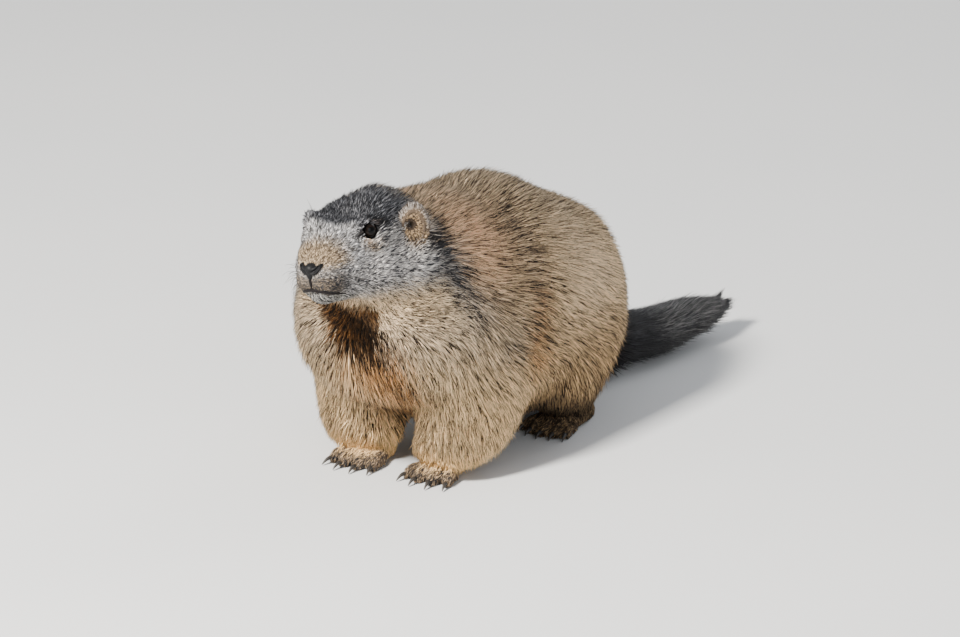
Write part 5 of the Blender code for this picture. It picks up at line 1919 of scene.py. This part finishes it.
def make_floor():
    """A plain pale floor."""
    mesh = bpy.data.meshes.new("floor")
    half = 6.0
    corners = [(-half, -half, 0), (half, -half, 0), (half, half, 0), (-half, half, 0)]
    mesh.from_pydata(corners, [], [(0, 1, 2, 3)])
    floor = link("floor", mesh)
    material, tree, shader = new_material("floor_pale", {"Roughness": 0.9})
    colour_ramp(tree, shader, add_noise(tree, 3.0), [(0.0, (0.60, 0.61, 0.62)), (1.0, (0.66, 0.66, 0.66))])
    mesh.materials.append(material)
    floor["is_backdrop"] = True


# The photograph's frame, and where the floor between the fore paws lies in it
PICTURE = (960, 637)
PAWS_IN_PICTURE = (397.0, 471.5)
SENSOR_WIDTH = 36.0


class MARMOT_OT_studio(bpy.types.Operator):
    """Build the floor, lights and camera"""

    bl_idname = "marmot.studio"
    bl_label = "Studio"

    def execute(self, context):
        settings = context.scene.marmot_studio
        make_floor()
        aim = SHIFT + Vector((0.0, 0.05, 0.10))
        area_light("key", (-0.1, -2.4, 2.2), aim, (0.5, 0.5), settings.key_power, (1.0, 0.96, 0.89))
        area_light("fill", (2.4, -1.6, 1.2), aim, (1.8, 1.8), settings.fill_power, (0.95, 0.97, 1.0))
        area_light("back", (0.6, 2.4, 1.9), aim, (1.6, 1.6), settings.fill_power, (0.95, 0.97, 1.0))
        world = bpy.data.worlds.new("studio")
        context.scene.world = world
        world.use_nodes = True
        sky = world.node_tree.nodes["Background"]
        sky.inputs["Color"].default_value = (0.94, 0.97, 1.0, 1.0)
        sky.inputs["Strength"].default_value = settings.sky
        turn, lift = settings.azimuth, settings.elevation
        right = Vector((math.cos(turn), math.sin(turn), 0))
        up = Vector((-math.sin(turn) * math.sin(lift), math.cos(turn) * math.sin(lift), math.cos(lift)))
        back = right.cross(up)
        scale = settings.pixels_per_metre
        aside = (PICTURE[0] / 2 - PAWS_IN_PICTURE[0]) / scale
        raised = (PAWS_IN_PICTURE[1] - PICTURE[1] / 2) / scale
        lens = bpy.data.cameras.new("camera")
        lens.sensor_width = SENSOR_WIDTH
        lens.lens = SENSOR_WIDTH * scale * settings.distance / PICTURE[0]
        camera = bpy.data.objects.new("camera", lens)
        context.scene.collection.objects.link(camera)
        camera.location = SHIFT + right * aside + up * raised + back * settings.distance
        camera.rotation_euler = (-back).to_track_quat("-Z", "Y").to_euler()
        context.scene.camera = camera
        return {"FINISHED"}


class MARMOT_PT_panel(bpy.types.Panel):
    """Buttons and sizes for the marmot"""

    bl_label = "Marmot"
    bl_space_type = "VIEW_3D"
    bl_region_type = "UI"
    bl_category = "Marmot"

    def draw(self, context):
        for operator in OPERATORS:
            self.layout.operator(operator.bl_idname)
        for name, group in GROUPS.items():
            box = self.layout.box()
            box.label(text=group.__doc__.strip("."))
            for item in group.__annotations__:
                box.prop(getattr(context.scene, name), item)


OPERATORS = [
    MARMOT_OT_studio,
    MARMOT_OT_skin,
    MARMOT_OT_coat,
    MARMOT_OT_eyes,
    MARMOT_OT_face,
    MARMOT_OT_claws,
]


def register():
    """Add the classes and the scene's settings."""
    for group in GROUPS.values():
        bpy.utils.register_class(group)
    for operator in OPERATORS:
        bpy.utils.register_class(operator)
    bpy.utils.register_class(MARMOT_PT_panel)
    for name, group in GROUPS.items():
        setattr(bpy.types.Scene, name, bpy.props.PointerProperty(type=group))


def unregister():
    """Remove the classes and the scene's settings."""
    for name in GROUPS:
        delattr(bpy.types.Scene, name)
    bpy.utils.unregister_class(MARMOT_PT_panel)
    for operator in reversed(OPERATORS):
        bpy.utils.unregister_class(operator)
    for group in reversed(list(GROUPS.values())):
        bpy.utils.unregister_class(group)


def main():
    """Take the solid model's box, then build every piece."""
    SHAPES["box"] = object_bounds()
    register()
    bpy.ops.marmot.studio()
    bpy.ops.marmot.skin()
    bpy.ops.marmot.coat()
    bpy.ops.marmot.eyes()
    bpy.ops.marmot.face()
    bpy.ops.marmot.claws()


if __name__ == "__main__":
    main()
